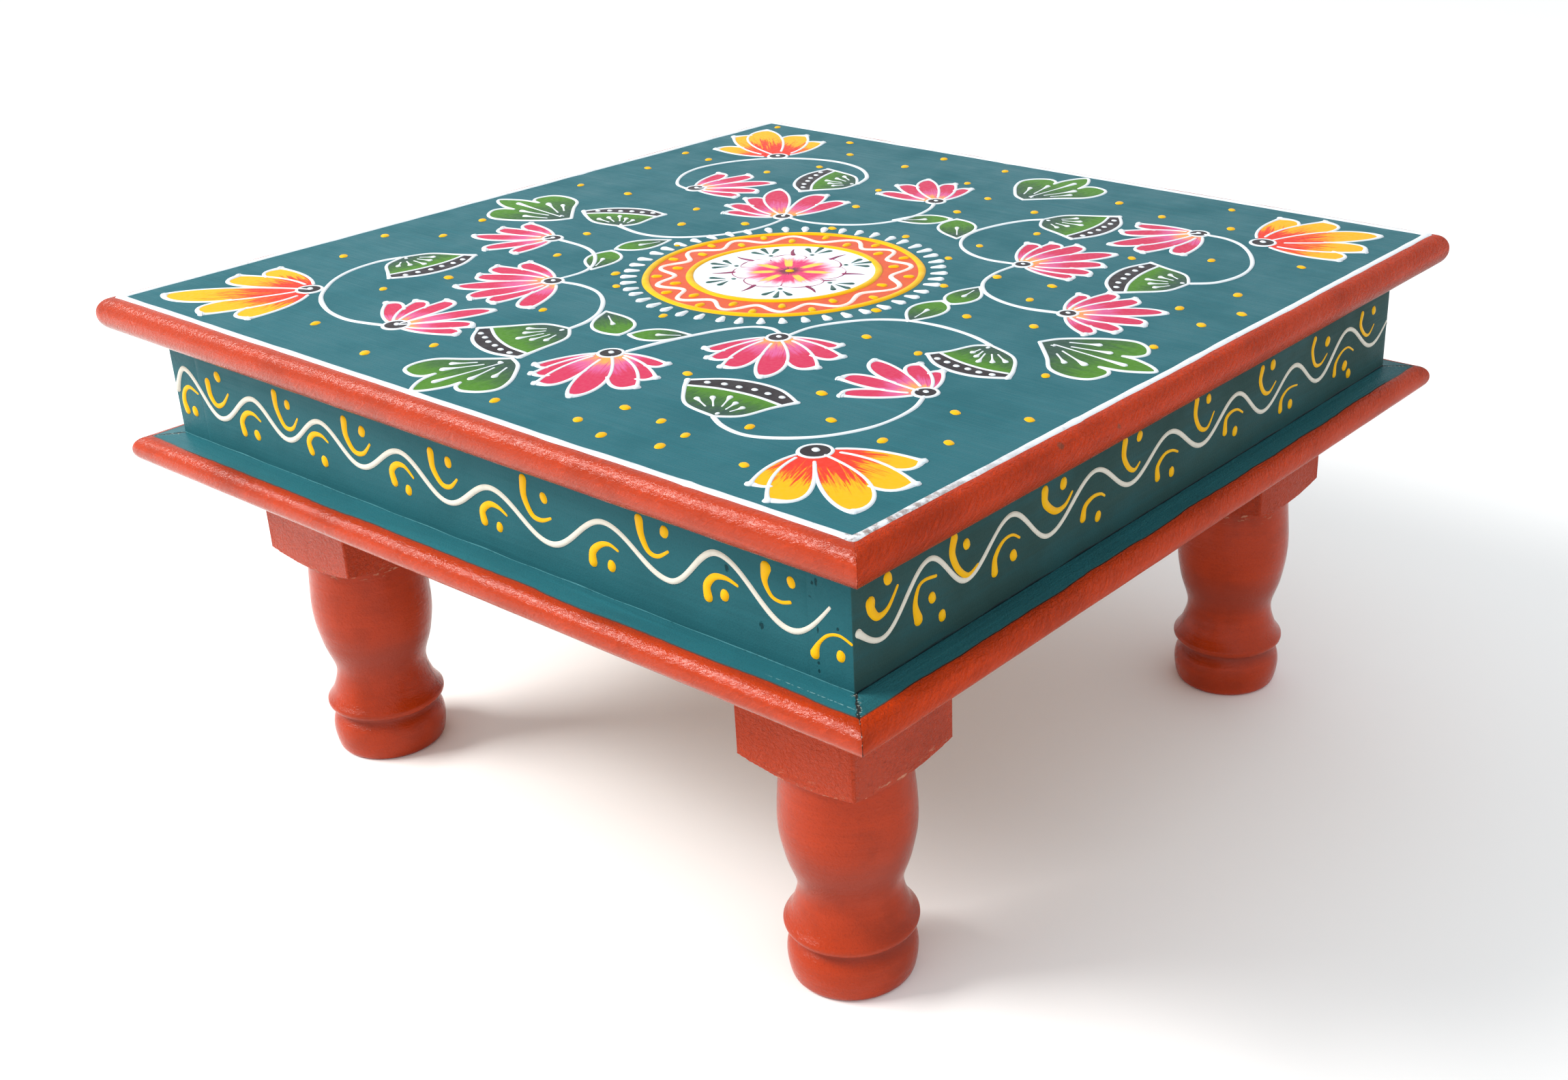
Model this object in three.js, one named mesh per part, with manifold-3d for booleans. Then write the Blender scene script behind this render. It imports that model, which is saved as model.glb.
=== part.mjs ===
// A chowki: a low, square, painted wooden table. A thin panel lies in a mitred rim with a round
// edge. The rim sits on a box of four apron boards, and the box on a mitred plinth frame with a
// round edge. Four turned legs with square blocks run up inside the corners of the box, as far as
// the panel, and are nailed to the boards.
// Millimetres, +Z up. The floor is z = 0 and the centre of the plan is the origin.

import * as THREE from 'three';
import { mergeVertices } from 'three/addons/utils/BufferGeometryUtils.js';
import Module from 'manifold-3d';

// Driving dimensions: the box
const overallHeight = 160;
const boxInnerHalf = 124.5;
const apronThickness = 14;
const apronHeight = 34.5;

// Driving dimensions: the rim and the panel in its rebate
const rimThickness = 10.5;
const rimOverhang = 13.5;
const rimNoseReach = 4.5;
const rimLip = 1;
const rimMitreGap = 0.1;
const panelThickness = 5;
const panelClearance = 0.25;

// Driving dimensions: the plinth frame
const plinthEdgeThickness = 8;
const plinthFall = 1;
const plinthOverhang = 12;
const plinthMitreGap = 0.7;

// Driving dimensions: the legs
const blockSide = 41;
const blockDrop = 32.5;
const blockCornerMargin = 1;
const shoulderFall = 3.8;
const shoulderFaceShare = 0.35;
const neckRadius = 17.9;
const bellyRadius = 19.2;
const bellyShare = 0.56;
const bellyStart = { share: 0.26, swell: 0.66 };
const waistRadius = 14.7;
const waistHeight = 30;
const coveStart = { share: 0.36, swell: 0.38 };
const ringRadius = 19;
const ringHeight = 16.4;
const ringBand = 1.6;
const ringEdge = 0.2;
const grooveRadius = 16;
const grooveWidth = 1.8;
const grooveSlope = 1;
const footRadius = 18.3;
const footHeight = 12.2;
const footBulgeShare = 0.45;
const footRoundShare = 0.125;
const soleRadius = 16.8;
const footTopRadius = 17.1;

// Driving dimensions: nails and pins. They are set below the surface by their sink.
const nailClearance = 0.3;
const nailTip = 2;
const openHoleMargin = 1;
const legNail = { shank: 0.9, head: 1.8, headHeight: 1, length: 32, sink: 1.5 };
const cornerNail = { shank: 0.9, head: 1.8, headHeight: 1, length: 28, sink: 1.5 };
const framePin = { shank: 0.7, head: 1.4, headHeight: 0.8, length: 20, sink: 0.4 };
const legNailLowInset = 9;
const legNailHighInset = 13.5;
const legNailOutward = 3.5;
const legNailInward = 7.5;
const legNailStagger = 5;
const cornerNailInset = 4.5;
const pinFromLeg = 16;

// Facets
const legSides = 28;
const nailSides = 8;
const noseSegments = 10;
const footSteps = 6;
const bodySteps = 17;
const weldTolerance = 1e-4;

// Heights and half widths that follow from the driving dimensions
const panelBottomZ = overallHeight - panelThickness;
const rimBottomZ = overallHeight - rimThickness;
const apronBottomZ = rimBottomZ - apronHeight;
const plinthEdgeTopZ = apronBottomZ - plinthFall;
const plinthBottomZ = plinthEdgeTopZ - plinthEdgeThickness;
const apronOuterHalf = boxInnerHalf + apronThickness;
const apronMiddle = boxInnerHalf + apronThickness / 2;
const rimOuterHalf = apronOuterHalf + rimOverhang;
const panelHalf = rimOuterHalf - rimNoseReach - rimLip;
const plinthOuterHalf = apronOuterHalf + plinthOverhang;
const legAxis = boxInnerHalf - blockSide / 2;
const blockCornerZ = plinthBottomZ - blockDrop;
const quarterTurn = Math.PI / 2;

const wasm = await Module();
wasm.setup();

// Finishes

function tealPaint() {
  return new THREE.MeshStandardMaterial({ color: 0x2f6c70, roughness: 0.45, metalness: 0 });
}

function orangePaint() {
  return new THREE.MeshStandardMaterial({ color: 0xc94f2e, roughness: 0.42, metalness: 0 });
}

function nailSteel() {
  return new THREE.MeshStandardMaterial({ color: 0x8b8d90, roughness: 0.35, metalness: 1 });
}

// Solids

function solidFrom(geometry) {
  const bare = geometry.clone();
  bare.deleteAttribute('normal');
  bare.deleteAttribute('uv');
  const welded = mergeVertices(bare, weldTolerance);
  const corners = welded.index.array;
  const kept = [];
  for (let i = 0; i < corners.length; i += 3) {
    const [a, b, c] = [corners[i], corners[i + 1], corners[i + 2]];
    if (a !== b && b !== c && c !== a) kept.push(a, b, c);
  }
  return new wasm.Manifold(new wasm.Mesh({
    numProp: 3,
    vertProperties: Float32Array.from(welded.attributes.position.array),
    triVerts: Uint32Array.from(kept),
  }));
}

function geometryFrom(solid) {
  const { vertProperties, triVerts } = solid.getMesh();
  const geometry = new THREE.BufferGeometry();
  geometry.setAttribute('position', new THREE.BufferAttribute(vertProperties, 3));
  geometry.setIndex(new THREE.BufferAttribute(triVerts, 1));
  geometry.computeVertexNormals();
  return geometry;
}

function cut(solid, cavities) {
  return cavities.reduce((rest, cavity) => rest.subtract(solidFrom(cavity)), solid);
}

function named(name, geometry, material) {
  const mesh = new THREE.Mesh(geometry, material);
  mesh.name = name;
  return mesh;
}

// A lathe shape about +Z from points of radius and height, listed from the bottom up
function turned(points, sides) {
  const geometry = new THREE.LatheGeometry(points.map(([r, z]) => new THREE.Vector2(r, z)), sides);
  return geometry.rotateX(quarterTurn);
}

// A strip along X. Its section is drawn as distance outward, towards -Y, and height.
function strip(section, length) {
  const geometry = new THREE.ExtrudeGeometry(section, { depth: length, bevelEnabled: false });
  const across = new THREE.Matrix4().makeBasis(
    new THREE.Vector3(0, -1, 0),
    new THREE.Vector3(0, 0, 1),
    new THREE.Vector3(-1, 0, 0),
  );
  return geometry.applyMatrix4(across).translate(length / 2, 0, 0);
}

// Slants both ends of a strip at 45 degrees, so that four of them meet with the gap between them
function mitred(geometry, gap) {
  const position = geometry.attributes.position;
  for (let i = 0; i < position.count; i += 1) {
    const outward = -position.getY(i);
    const reach = outward - gap / Math.SQRT2;
    position.setX(i, Math.sign(position.getX(i)) * reach);
  }
  return geometry;
}

// Half of an ellipse on the outer edge of a section, from its top to its bottom
function addNose(section, outer, reach, topZ, bottomZ) {
  const middle = (topZ + bottomZ) / 2;
  const halfHeight = (topZ - bottomZ) / 2;
  for (let i = 0; i <= noseSegments; i += 1) {
    const angle = quarterTurn - Math.PI * (i / noseSegments);
    section.lineTo(outer - reach + reach * Math.cos(angle), middle + halfHeight * Math.sin(angle));
  }
}

// Nails: the head's top is at the origin and the shank points to -Z

function nailPoints({ shank, head, headHeight, length }, grow, above) {
  const tipZ = -length - grow;
  return [
    [0, tipZ],
    [shank + grow, tipZ + nailTip],
    [shank + grow, -headHeight - grow],
    [head + grow, -headHeight - grow],
    [head + grow, above],
    [0, above],
  ];
}

function nailGeometry(nail) {
  return turned(nailPoints(nail, 0, 0), nailSides);
}

// The hole for a nail. An open one runs out through the surface above the head.
function nailHole(nail, pose, isOpen) {
  const above = isOpen ? nail.sink + openHoleMargin : nailClearance;
  return turned(nailPoints(nail, nailClearance, above), nailSides).applyMatrix4(pose);
}

function poseAt(x, y, z, turnX) {
  return new THREE.Matrix4().makeRotationX(turnX).setPosition(x, y, z);
}

function turnedPose(pose, turns) {
  return new THREE.Matrix4().makeRotationZ(turns * quarterTurn).multiply(pose);
}

// Nails of one side, in that side's own frame, where outward is -Y. The end is -1 or 1 along X.

function legNailPoses(end) {
  const lift = end < 0 ? legNailStagger : 0;
  const y = -(apronOuterHalf - legNail.sink);
  return [
    poseAt(end * (legAxis + legNailOutward), y, apronBottomZ + legNailLowInset + lift, quarterTurn),
    poseAt(end * (legAxis - legNailInward), y, rimBottomZ - legNailHighInset + lift, quarterTurn),
  ];
}

function cornerNailPoses(end) {
  const y = -(apronOuterHalf - cornerNail.sink);
  return [apronBottomZ + cornerNailInset, rimBottomZ - cornerNailInset].map(
    (z) => poseAt(end * apronMiddle, y, z, quarterTurn),
  );
}

function rimPinPoses() {
  const x = legAxis - blockSide / 2 - pinFromLeg;
  return [-1, 1].map((end) => poseAt(end * x, -apronMiddle, panelBottomZ - framePin.sink, 0));
}

function plinthPinPoses() {
  const x = legAxis - blockSide / 2 - pinFromLeg;
  return [-1, 1].map((end) => poseAt(end * x, -apronMiddle, plinthBottomZ + framePin.sink, Math.PI));
}

const bothEnds = (posesOf) => [...posesOf(-1), ...posesOf(1)];

// Pieces of one side

function rimStrip() {
  const section = new THREE.Shape();
  section.moveTo(boxInnerHalf, rimBottomZ);
  section.lineTo(boxInnerHalf, panelBottomZ);
  section.lineTo(panelHalf + panelClearance, panelBottomZ);
  section.lineTo(panelHalf + panelClearance, overallHeight);
  addNose(section, rimOuterHalf, rimNoseReach, overallHeight, rimBottomZ);
  section.closePath();
  const solid = solidFrom(mitred(strip(section, 2 * rimOuterHalf), rimMitreGap));
  return geometryFrom(cut(solid, rimPinPoses().map((pose) => nailHole(framePin, pose, true))));
}

function plinthStrip() {
  const nose = plinthEdgeThickness / 2;
  const section = new THREE.Shape();
  section.moveTo(boxInnerHalf, plinthBottomZ);
  section.lineTo(boxInnerHalf, apronBottomZ);
  section.lineTo(apronOuterHalf, apronBottomZ);
  addNose(section, plinthOuterHalf, nose, plinthEdgeTopZ, plinthBottomZ);
  section.closePath();
  const solid = solidFrom(mitred(strip(section, 2 * plinthOuterHalf), plinthMitreGap));
  return geometryFrom(cut(solid, plinthPinPoses().map((pose) => nailHole(framePin, pose, true))));
}

// The right and left boards run the full width and cover the ends of the front and back boards
function apronBoard(runsThrough) {
  const length = 2 * (runsThrough ? apronOuterHalf : boxInnerHalf);
  const board = new THREE.BoxGeometry(length, apronThickness, apronHeight);
  board.translate(0, -apronMiddle, apronBottomZ + apronHeight / 2);
  const cavities = [
    ...bothEnds(legNailPoses).map((pose) => nailHole(legNail, pose, false)),
    ...rimPinPoses().map((pose) => nailHole(framePin, pose, true)),
    ...plinthPinPoses().map((pose) => nailHole(framePin, pose, true)),
  ];
  if (runsThrough) {
    cavities.push(...bothEnds(cornerNailPoses).map((pose) => nailHole(cornerNail, pose, false)));
  } else {
    const fromNextSide = cornerNailPoses(-1).map((pose) => turnedPose(pose, 1));
    const fromSideBefore = cornerNailPoses(1).map((pose) => turnedPose(pose, -1));
    cavities.push(...fromNextSide.map((pose) => nailHole(cornerNail, pose, false)));
    cavities.push(...fromSideBefore.map((pose) => nailHole(cornerNail, pose, false)));
  }
  return geometryFrom(cut(solidFrom(board), cavities));
}

function drive(group, prefix, nail, poses) {
  poses.forEach((pose, index) => {
    const mesh = named(`${prefix}_${index + 1}`, nailGeometry(nail), nailSteel());
    pose.decompose(mesh.position, mesh.quaternion, mesh.scale);
    group.add(mesh);
  });
}

function buildSide(sideName, turns) {
  const runsThrough = turns % 2 === 1;
  const side = new THREE.Group();
  side.add(named(`rim_${sideName}`, rimStrip(), orangePaint()));
  side.add(named(`apron_${sideName}`, apronBoard(runsThrough), tealPaint()));
  side.add(named(`plinth_${sideName}`, plinthStrip(), orangePaint()));
  drive(side, `leg_nail_${sideName}`, legNail, bothEnds(legNailPoses));
  drive(side, `rim_pin_${sideName}`, framePin, rimPinPoses());
  drive(side, `plinth_pin_${sideName}`, framePin, plinthPinPoses());
  if (runsThrough) drive(side, `corner_nail_${sideName}`, cornerNail, bothEnds(cornerNailPoses));
  side.rotation.z = turns * quarterTurn;
  return side;
}

// Legs

const curvePoints = (points, steps) => new THREE.SplineCurve(
  points.map(([r, z]) => new THREE.Vector2(r, z)),
).getPoints(steps).map((point) => [point.x, point.y]);

// Radius and height of the turned shape, from the sole to the top of the block. Above the neck it
// is wider than the block, whose corners the slope of the shoulder cuts off below.
function legProfile() {
  const cornerRadius = blockSide / Math.SQRT2 + blockCornerMargin;
  const neckZ = blockCornerZ - shoulderFall;
  const vase = neckZ - waistHeight;
  const ringTopZ = ringHeight + ringBand;
  const cove = waistHeight - ringTopZ;
  const grooveZ = footHeight + grooveSlope;
  const foot = curvePoints([
    [soleRadius, 0],
    [(soleRadius + 2 * footRadius) / 3, footHeight * footRoundShare],
    [footRadius, footHeight * footBulgeShare],
    [footTopRadius, footHeight],
  ], footSteps);
  const body = curvePoints([
    [ringRadius, ringTopZ],
    [waistRadius + (ringRadius - waistRadius) * coveStart.swell, ringTopZ + cove * coveStart.share],
    [waistRadius, waistHeight],
    [waistRadius + (bellyRadius - waistRadius) * bellyStart.swell, waistHeight + vase * bellyStart.share],
    [bellyRadius, waistHeight + vase * bellyShare],
    [neckRadius, neckZ],
  ], bodySteps);
  return [
    [0, 0],
    ...foot,
    [grooveRadius, grooveZ],
    [grooveRadius, grooveZ + grooveWidth],
    [ringRadius - ringEdge, ringHeight],
    ...body,
    [blockSide / 2, neckZ + shoulderFall * shoulderFaceShare],
    [cornerRadius, blockCornerZ],
    [cornerRadius, panelBottomZ],
    [0, panelBottomZ],
  ];
}

function legGeometry() {
  const square = new THREE.BoxGeometry(blockSide, blockSide, panelBottomZ);
  square.translate(legAxis, -legAxis, panelBottomZ / 2);
  const round = turned(legProfile(), legSides).translate(legAxis, -legAxis, 0);
  const nextSide = legNailPoses(-1).map((pose) => turnedPose(pose, 1));
  const cavities = [...legNailPoses(1), ...nextSide].map((pose) => nailHole(legNail, pose, false));
  return geometryFrom(cut(solidFrom(square).intersect(solidFrom(round)), cavities));
}

function buildLeg(cornerName, turns) {
  const leg = named(`leg_${cornerName}`, legGeometry(), orangePaint());
  leg.rotation.z = turns * quarterTurn;
  return leg;
}

function buildPanel() {
  const geometry = new THREE.BoxGeometry(2 * panelHalf, 2 * panelHalf, panelThickness);
  const panel = named('top_panel', geometry, tealPaint());
  panel.position.z = panelBottomZ + panelThickness / 2;
  return panel;
}

// Assembly: the sides and the corners run anticlockwise from the front, which is -Y

const chowki = new THREE.Group();
chowki.add(buildPanel());
['front', 'right', 'back', 'left'].forEach((sideName, turns) => {
  chowki.add(buildSide(sideName, turns));
});
['front_right', 'back_right', 'back_left', 'front_left'].forEach((cornerName, turns) => {
  chowki.add(buildLeg(cornerName, turns));
});

export default chowki;
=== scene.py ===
"""Looks of a chowki: a low painted wooden table with turned legs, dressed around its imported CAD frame.

The boards and legs are shaped again with soft edges and a brushed surface, and the painted ornament is
modelled as layers and beads of thick paint. Painted shapes are drawn in millimetres on a flat sheet and
then laid on the top or on a side of the box.
"""

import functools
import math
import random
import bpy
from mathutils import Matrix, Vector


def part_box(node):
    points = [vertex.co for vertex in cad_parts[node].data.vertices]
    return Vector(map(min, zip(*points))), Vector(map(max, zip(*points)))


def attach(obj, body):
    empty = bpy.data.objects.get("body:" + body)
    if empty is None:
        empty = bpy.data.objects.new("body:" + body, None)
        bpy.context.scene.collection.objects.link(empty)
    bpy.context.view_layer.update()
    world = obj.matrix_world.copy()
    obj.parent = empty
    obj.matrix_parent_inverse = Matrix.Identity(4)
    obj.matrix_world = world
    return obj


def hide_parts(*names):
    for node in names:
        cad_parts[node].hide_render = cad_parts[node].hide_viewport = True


bl_info = {
    "name": "Painted Chowki",
    "version": (1, 0, 0),
    "blender": (4, 5, 0),
    "location": "3D View > Sidebar > Chowki",
    "description": "Shapes the boards, legs and painted ornament of a low wooden table",
    "category": "Object",
}

import bmesh
import bpy
from bpy.props import FloatProperty, FloatVectorProperty, PointerProperty
from mathutils import Matrix, Vector, noise

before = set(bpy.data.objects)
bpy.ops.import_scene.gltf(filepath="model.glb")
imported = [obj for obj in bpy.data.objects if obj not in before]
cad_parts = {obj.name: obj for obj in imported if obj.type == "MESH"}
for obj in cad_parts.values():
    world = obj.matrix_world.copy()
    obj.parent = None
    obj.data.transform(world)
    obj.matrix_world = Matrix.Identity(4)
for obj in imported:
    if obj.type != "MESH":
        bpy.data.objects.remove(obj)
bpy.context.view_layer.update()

MM = 0.001
QUARTER = math.pi / 2

PANEL_LOW, PANEL_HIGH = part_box("top_panel")
RIM_LOW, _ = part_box("rim_front")
APRON_LOW, APRON_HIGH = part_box("apron_front")
PLINTH_LOW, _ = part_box("plinth_front")
LEG_LOW, LEG_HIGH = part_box("leg_front_right")

# Sizes of the frame in millimetres
TOP = PANEL_HIGH.z / MM
PANEL_BOTTOM = PANEL_LOW.z / MM
PANEL_HALF = PANEL_HIGH.x / MM
RIM_OUTER = -RIM_LOW.y / MM
RIM_BOTTOM = RIM_LOW.z / MM
BOX_OUTER = -APRON_LOW.y / MM
BOX_INNER = -APRON_HIGH.y / MM
BOX_BOTTOM = APRON_LOW.z / MM
PLINTH_OUTER = -PLINTH_LOW.y / MM
PLINTH_BOTTOM = PLINTH_LOW.z / MM
BLOCK_HALF = (LEG_HIGH.x - LEG_LOW.x) / 2 / MM
LEG_AXIS = (LEG_HIGH.x + LEG_LOW.x) / 2 / MM
BLOCK_DROP = 32.5
SHOULDER_FALL = 3.8
# How much further than the usual drop each leg's block comes down, in the order of CORNERS
BLOCK_LONGER = (1.3, -2, 0, -0.6)
NECK_Z = PLINTH_BOTTOM - BLOCK_DROP - SHOULDER_FALL
WAIST_Z = 38
GROOVE_Z = 14.5
MEAN_LEG_RADIUS = 18

SIDES = ("front", "right", "back", "left")
CORNERS = ("front_right", "back_right", "back_left", "front_left")

# How much the paint of each side is darkened: painted shade on the sides turned away from the light, together
# with weathering
SIDE_SHADE_AND_WEATHER = (0.25, 1.0, 0.65, 0.3)


# Colours and settings


def srgb(red, green, blue):
    """Linear colour from screen values of 0 to 255."""

    def channel(value):
        share = value / 255
        return share / 12.92 if share <= 0.04045 else ((share + 0.055) / 1.055) ** 2.4

    return channel(red), channel(green), channel(blue)


def length_setting(name, description, millimetres):
    default = millimetres * MM
    return FloatProperty(name=name, description=description, default=default, min=0, unit="LENGTH")


def power_setting(name, description, watts):
    return FloatProperty(name=name, description=description, default=watts, min=0, unit="POWER")


def colour_setting(name, description, *screen_colour):
    return FloatVectorProperty(name=name, description=description, default=srgb(*screen_colour), size=3,
                               min=0, max=1, subtype="COLOR")


class ChowkiSizes(bpy.types.PropertyGroup):
    edge_rounding: length_setting("Edge rounding", "Radius worn onto the edges of the boards", 0.5)
    hand_ripple: length_setting("Hand ripple", "Height of the ripples that planing and brushing leave", 0.07)
    outline_radius: length_setting("Outline", "Half width of the white outlines of the flowers", 0.56)
    vine_radius: length_setting("Vine", "Half width of the white stems", 0.74)
    border_radius: length_setting("Border", "Half width of the white border of the top", 1.28)
    scroll_radius: length_setting("Scroll", "Half width of the wave on the sides", 0.82)
    dot_radius: length_setting("Dot", "Half length of the yellow dots on the top", 1.75)
    paint_layer: length_setting("Paint layer", "Thickness of one thin layer of ornament paint", 0.02)


class ChowkiColours(bpy.types.PropertyGroup):
    teal: colour_setting("Teal", "Enamel of the top and the box", 31, 94, 104)
    orange: colour_setting("Orange", "Enamel of the edges and the legs", 177, 55, 17)
    white: colour_setting("White", "Outlines and stems", 216, 222, 228)
    cream: colour_setting("Cream", "Wave on the sides", 214, 209, 196)
    yellow: colour_setting("Yellow", "Dots and strokes", 230, 174, 0)
    pink: colour_setting("Pink", "Body of the pink lotus petals", 190, 42, 80)
    green: colour_setting("Green", "Body of the leaves", 68, 120, 25)
    ink: colour_setting("Ink", "Eyes and bands", 34, 26, 31)
    timber: colour_setting("Timber", "Bare wood of the inside", 188, 142, 92)


class ChowkiStudio(bpy.types.PropertyGroup):
    key_power: power_setting("Key", "Power of the bright light", 28)
    fill_power: power_setting("Fill", "Power of the weak light", 0.6)
    sky: FloatProperty(name="Sky", description="Strength of the even light all round", default=0.98, min=0)
    floor_half: length_setting("Floor", "Half width of the floor", 4000)


def sizes():
    return bpy.context.scene.chowki_sizes


def colours():
    return bpy.context.scene.chowki_colours


# Node building


class Shader:
    """Short calls for adding nodes to one material or group."""

    def __init__(self, tree):
        self.tree = tree

    def node(self, kind, inputs=None, **settings):
        made = self.tree.nodes.new(kind)
        for name, value in settings.items():
            setattr(made, name, value)
        for name, value in (inputs or {}).items():
            self.feed(made.inputs[name], value)
        return made

    def feed(self, socket, value):
        if isinstance(value, bpy.types.NodeSocket):
            self.tree.links.new(value, socket)
        elif socket.type == "RGBA" and len(value) == 3:
            socket.default_value = (*value, 1)
        else:
            socket.default_value = value

    def maths(self, operation, first, second=0.0, third=0.0):
        made = self.node("ShaderNodeMath", operation=operation)
        for socket, value in zip(made.inputs, (first, second, third)):
            self.feed(socket, value)
        return made.outputs[0]

    def times(self, first, second):
        return self.maths("MULTIPLY", first, second)

    def plus(self, first, second):
        return self.maths("ADD", first, second)

    def minus(self, first, second):
        return self.maths("SUBTRACT", first, second)

    def times_plus(self, first, factor, added):
        return self.maths("MULTIPLY_ADD", first, factor, added)

    def absolute(self, value):
        return self.maths("ABSOLUTE", value)

    def vector_maths(self, operation, first, second=(0, 0, 0)):
        made = self.node("ShaderNodeVectorMath", {0: first, 1: second}, operation=operation)
        return made.outputs["Value" if operation in ("LENGTH", "DOT_PRODUCT") else "Vector"]

    def mix(self, share, first, second, blend="MIX"):
        made = self.node("ShaderNodeMix", data_type="RGBA", blend_type=blend)
        self.feed(made.inputs["Factor"], share)
        self.feed(made.inputs[6], first)
        self.feed(made.inputs[7], second)
        return made.outputs[2]

    def cover(self, mask, share, under, over):
        """One colour over another where a mask lies, as thickly as the share says."""
        return self.mix(self.times(mask, share), under, over)

    def steps(self, value, low, high, low_to=0.0, high_to=1.0):
        """Eases from one value to another while the given value goes from low to high."""
        made = self.node("ShaderNodeMapRange", {
            "Value": value, "From Min": low, "From Max": high, "To Min": low_to, "To Max": high_to,
        }, interpolation_type="SMOOTHSTEP")
        return made.outputs[0]

    def stretched(self, vector, scale, turn=(0, 0, 0)):
        made = self.node("ShaderNodeMapping", {"Vector": vector, "Scale": scale, "Rotation": turn})
        return made.outputs[0]

    def cloud(self, vector, scale, detail, roughness=0.55, distortion=0.0):
        """Noise from 0 to 1. Its scale is in lumps per metre."""
        made = self.node("ShaderNodeTexNoise", {
            "Vector": vector, "Scale": scale, "Detail": detail, "Roughness": roughness,
            "Distortion": distortion,
        })
        return made.outputs[0]

    def drawn_out(self, vector, scales, detail, roughness=0.55, distortion=0.0):
        """Noise with a scale of its own on each axis."""
        return self.cloud(self.stretched(vector, scales), 1, detail, roughness, distortion)

    def cells(self, vector, scale):
        return self.node("ShaderNodeTexVoronoi", {"Vector": vector, "Scale": scale}).outputs["Distance"]

    def apart(self, vector):
        return self.node("ShaderNodeSeparateXYZ", {0: vector}).outputs

    def joined(self, x, y, z):
        return self.node("ShaderNodeCombineXYZ", {0: x, 1: y, 2: z}).outputs[0]

    def group(self, make_tree, **inputs):
        made = self.node("ShaderNodeGroup", node_tree=make_tree())
        for name, value in inputs.items():
            self.feed(made.inputs[name.replace("_", " ").capitalize()], value)
        return made.outputs


# The kind of a group's socket, by what is given as its default
SOCKET_KINDS = {type(None): "Vector", tuple: "Color", float: "Float"}
GREY = (0.5, 0.5, 0.5, 1)

# What a node group gives: a coat of paint or wood, or a mask
COAT = {"Colour": GREY, "Gloss": 0.4, "Height": 0.5}
MASK = {"Mask": 0.0}


class Group(Shader):
    """A new node group. Its inputs and outputs are given by name, with their defaults."""

    def __init__(self, name, inputs, outputs):
        super().__init__(bpy.data.node_groups.new(name, "ShaderNodeTree"))
        for in_out, sockets in (("INPUT", inputs), ("OUTPUT", outputs)):
            for title, default in sockets.items():
                kind = f"NodeSocket{SOCKET_KINDS[type(default)]}"
                socket = self.tree.interface.new_socket(title, in_out=in_out, socket_type=kind)
                if default is not None:
                    socket.default_value = default
        self.given = self.node("NodeGroupInput").outputs
        self.result = self.node("NodeGroupOutput").inputs

    def give(self, **outputs):
        """Feeds the group's outputs and hands over its tree."""
        for title, value in outputs.items():
            self.feed(self.result[title], value)
        return self.tree


@functools.cache
def enamel_group():
    """Hand-brushed gloss paint. The third axis of the vector runs along the brush strokes."""
    shader = Group("Brushed enamel", {
        "Vector": None, "Colour": GREY, "Deep": GREY, "Bright": GREY, "Aged": GREY, "Weather": 0.0,
        "Streak": 0.5, "Mottle": 0.5, "Flake": 0.3,
    }, COAT)
    given = shader.given
    vector = given["Vector"]
    hairs = shader.drawn_out(vector, (1500, 1500, 45), 4, 0.6)
    strokes = shader.drawn_out(vector, (330, 330, 14), 3, 0.5, 0.4)
    patches = shader.cloud(vector, 38, 4, 0.6)
    grit = shader.cloud(vector, 1900, 2, 0.5)
    slanted = shader.stretched(vector, (1, 1, 1), (0.62, 0, 0))
    flakes = shader.drawn_out(slanted, (850, 1000, 270), 4, 0.62, 0.9)
    mottled = shader.cover(shader.steps(patches, 0.42, 0.72), given["Mottle"], given["Colour"], given["Deep"])
    streaked = shader.cover(shader.steps(strokes, 0.48, 0.75), given["Streak"], mottled, given["Bright"])
    fine = shader.times(given["Streak"], 0.35)
    hairy = shader.cover(shader.steps(hairs, 0.35, 0.8), fine, streaked, given["Deep"])
    # Painted highlights: the raised wrinkles of the paint are flecked with the bright colour, as if they
    # caught the light
    glint_share = shader.times(given["Flake"], 0.16)
    scuffed_and_glinting = shader.cover(shader.steps(flakes, 0.52, 0.68), glint_share, hairy, given["Bright"])
    fresh = shader.mix(shader.steps(grit, 0.5, 0.72, 0, 0.4), scuffed_and_glinting, given["Deep"])
    # Painted shade of the sides turned away from the light, with weathering: the colour is multiplied by the
    # shaded and aged factors, more in dirty patches
    shaded_and_aged_colour = shader.mix(1.0, fresh, given["Aged"], "MULTIPLY")
    dirt = shader.times_plus(patches, 0.5, shader.times(strokes, 0.35))
    darkened = shader.steps(dirt, 0.25, 0.5, 0.7, 1.0)
    sheen = shader.plus(shader.times(patches, 0.6), shader.times(hairs, 0.4))
    coarse = shader.times_plus(strokes, 0.9, shader.times(hairs, 0.45))
    scaly = shader.times_plus(flakes, given["Flake"], coarse)
    return shader.give(
        Colour=shader.cover(given["Weather"], darkened, fresh, shaded_and_aged_colour),
        Gloss=shader.times_plus(given["Weather"], 0.14, shader.steps(sheen, 0.3, 0.7, 0.28, 0.5)),
        Height=shader.times_plus(grit, 0.5, scaly),
    )


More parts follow.
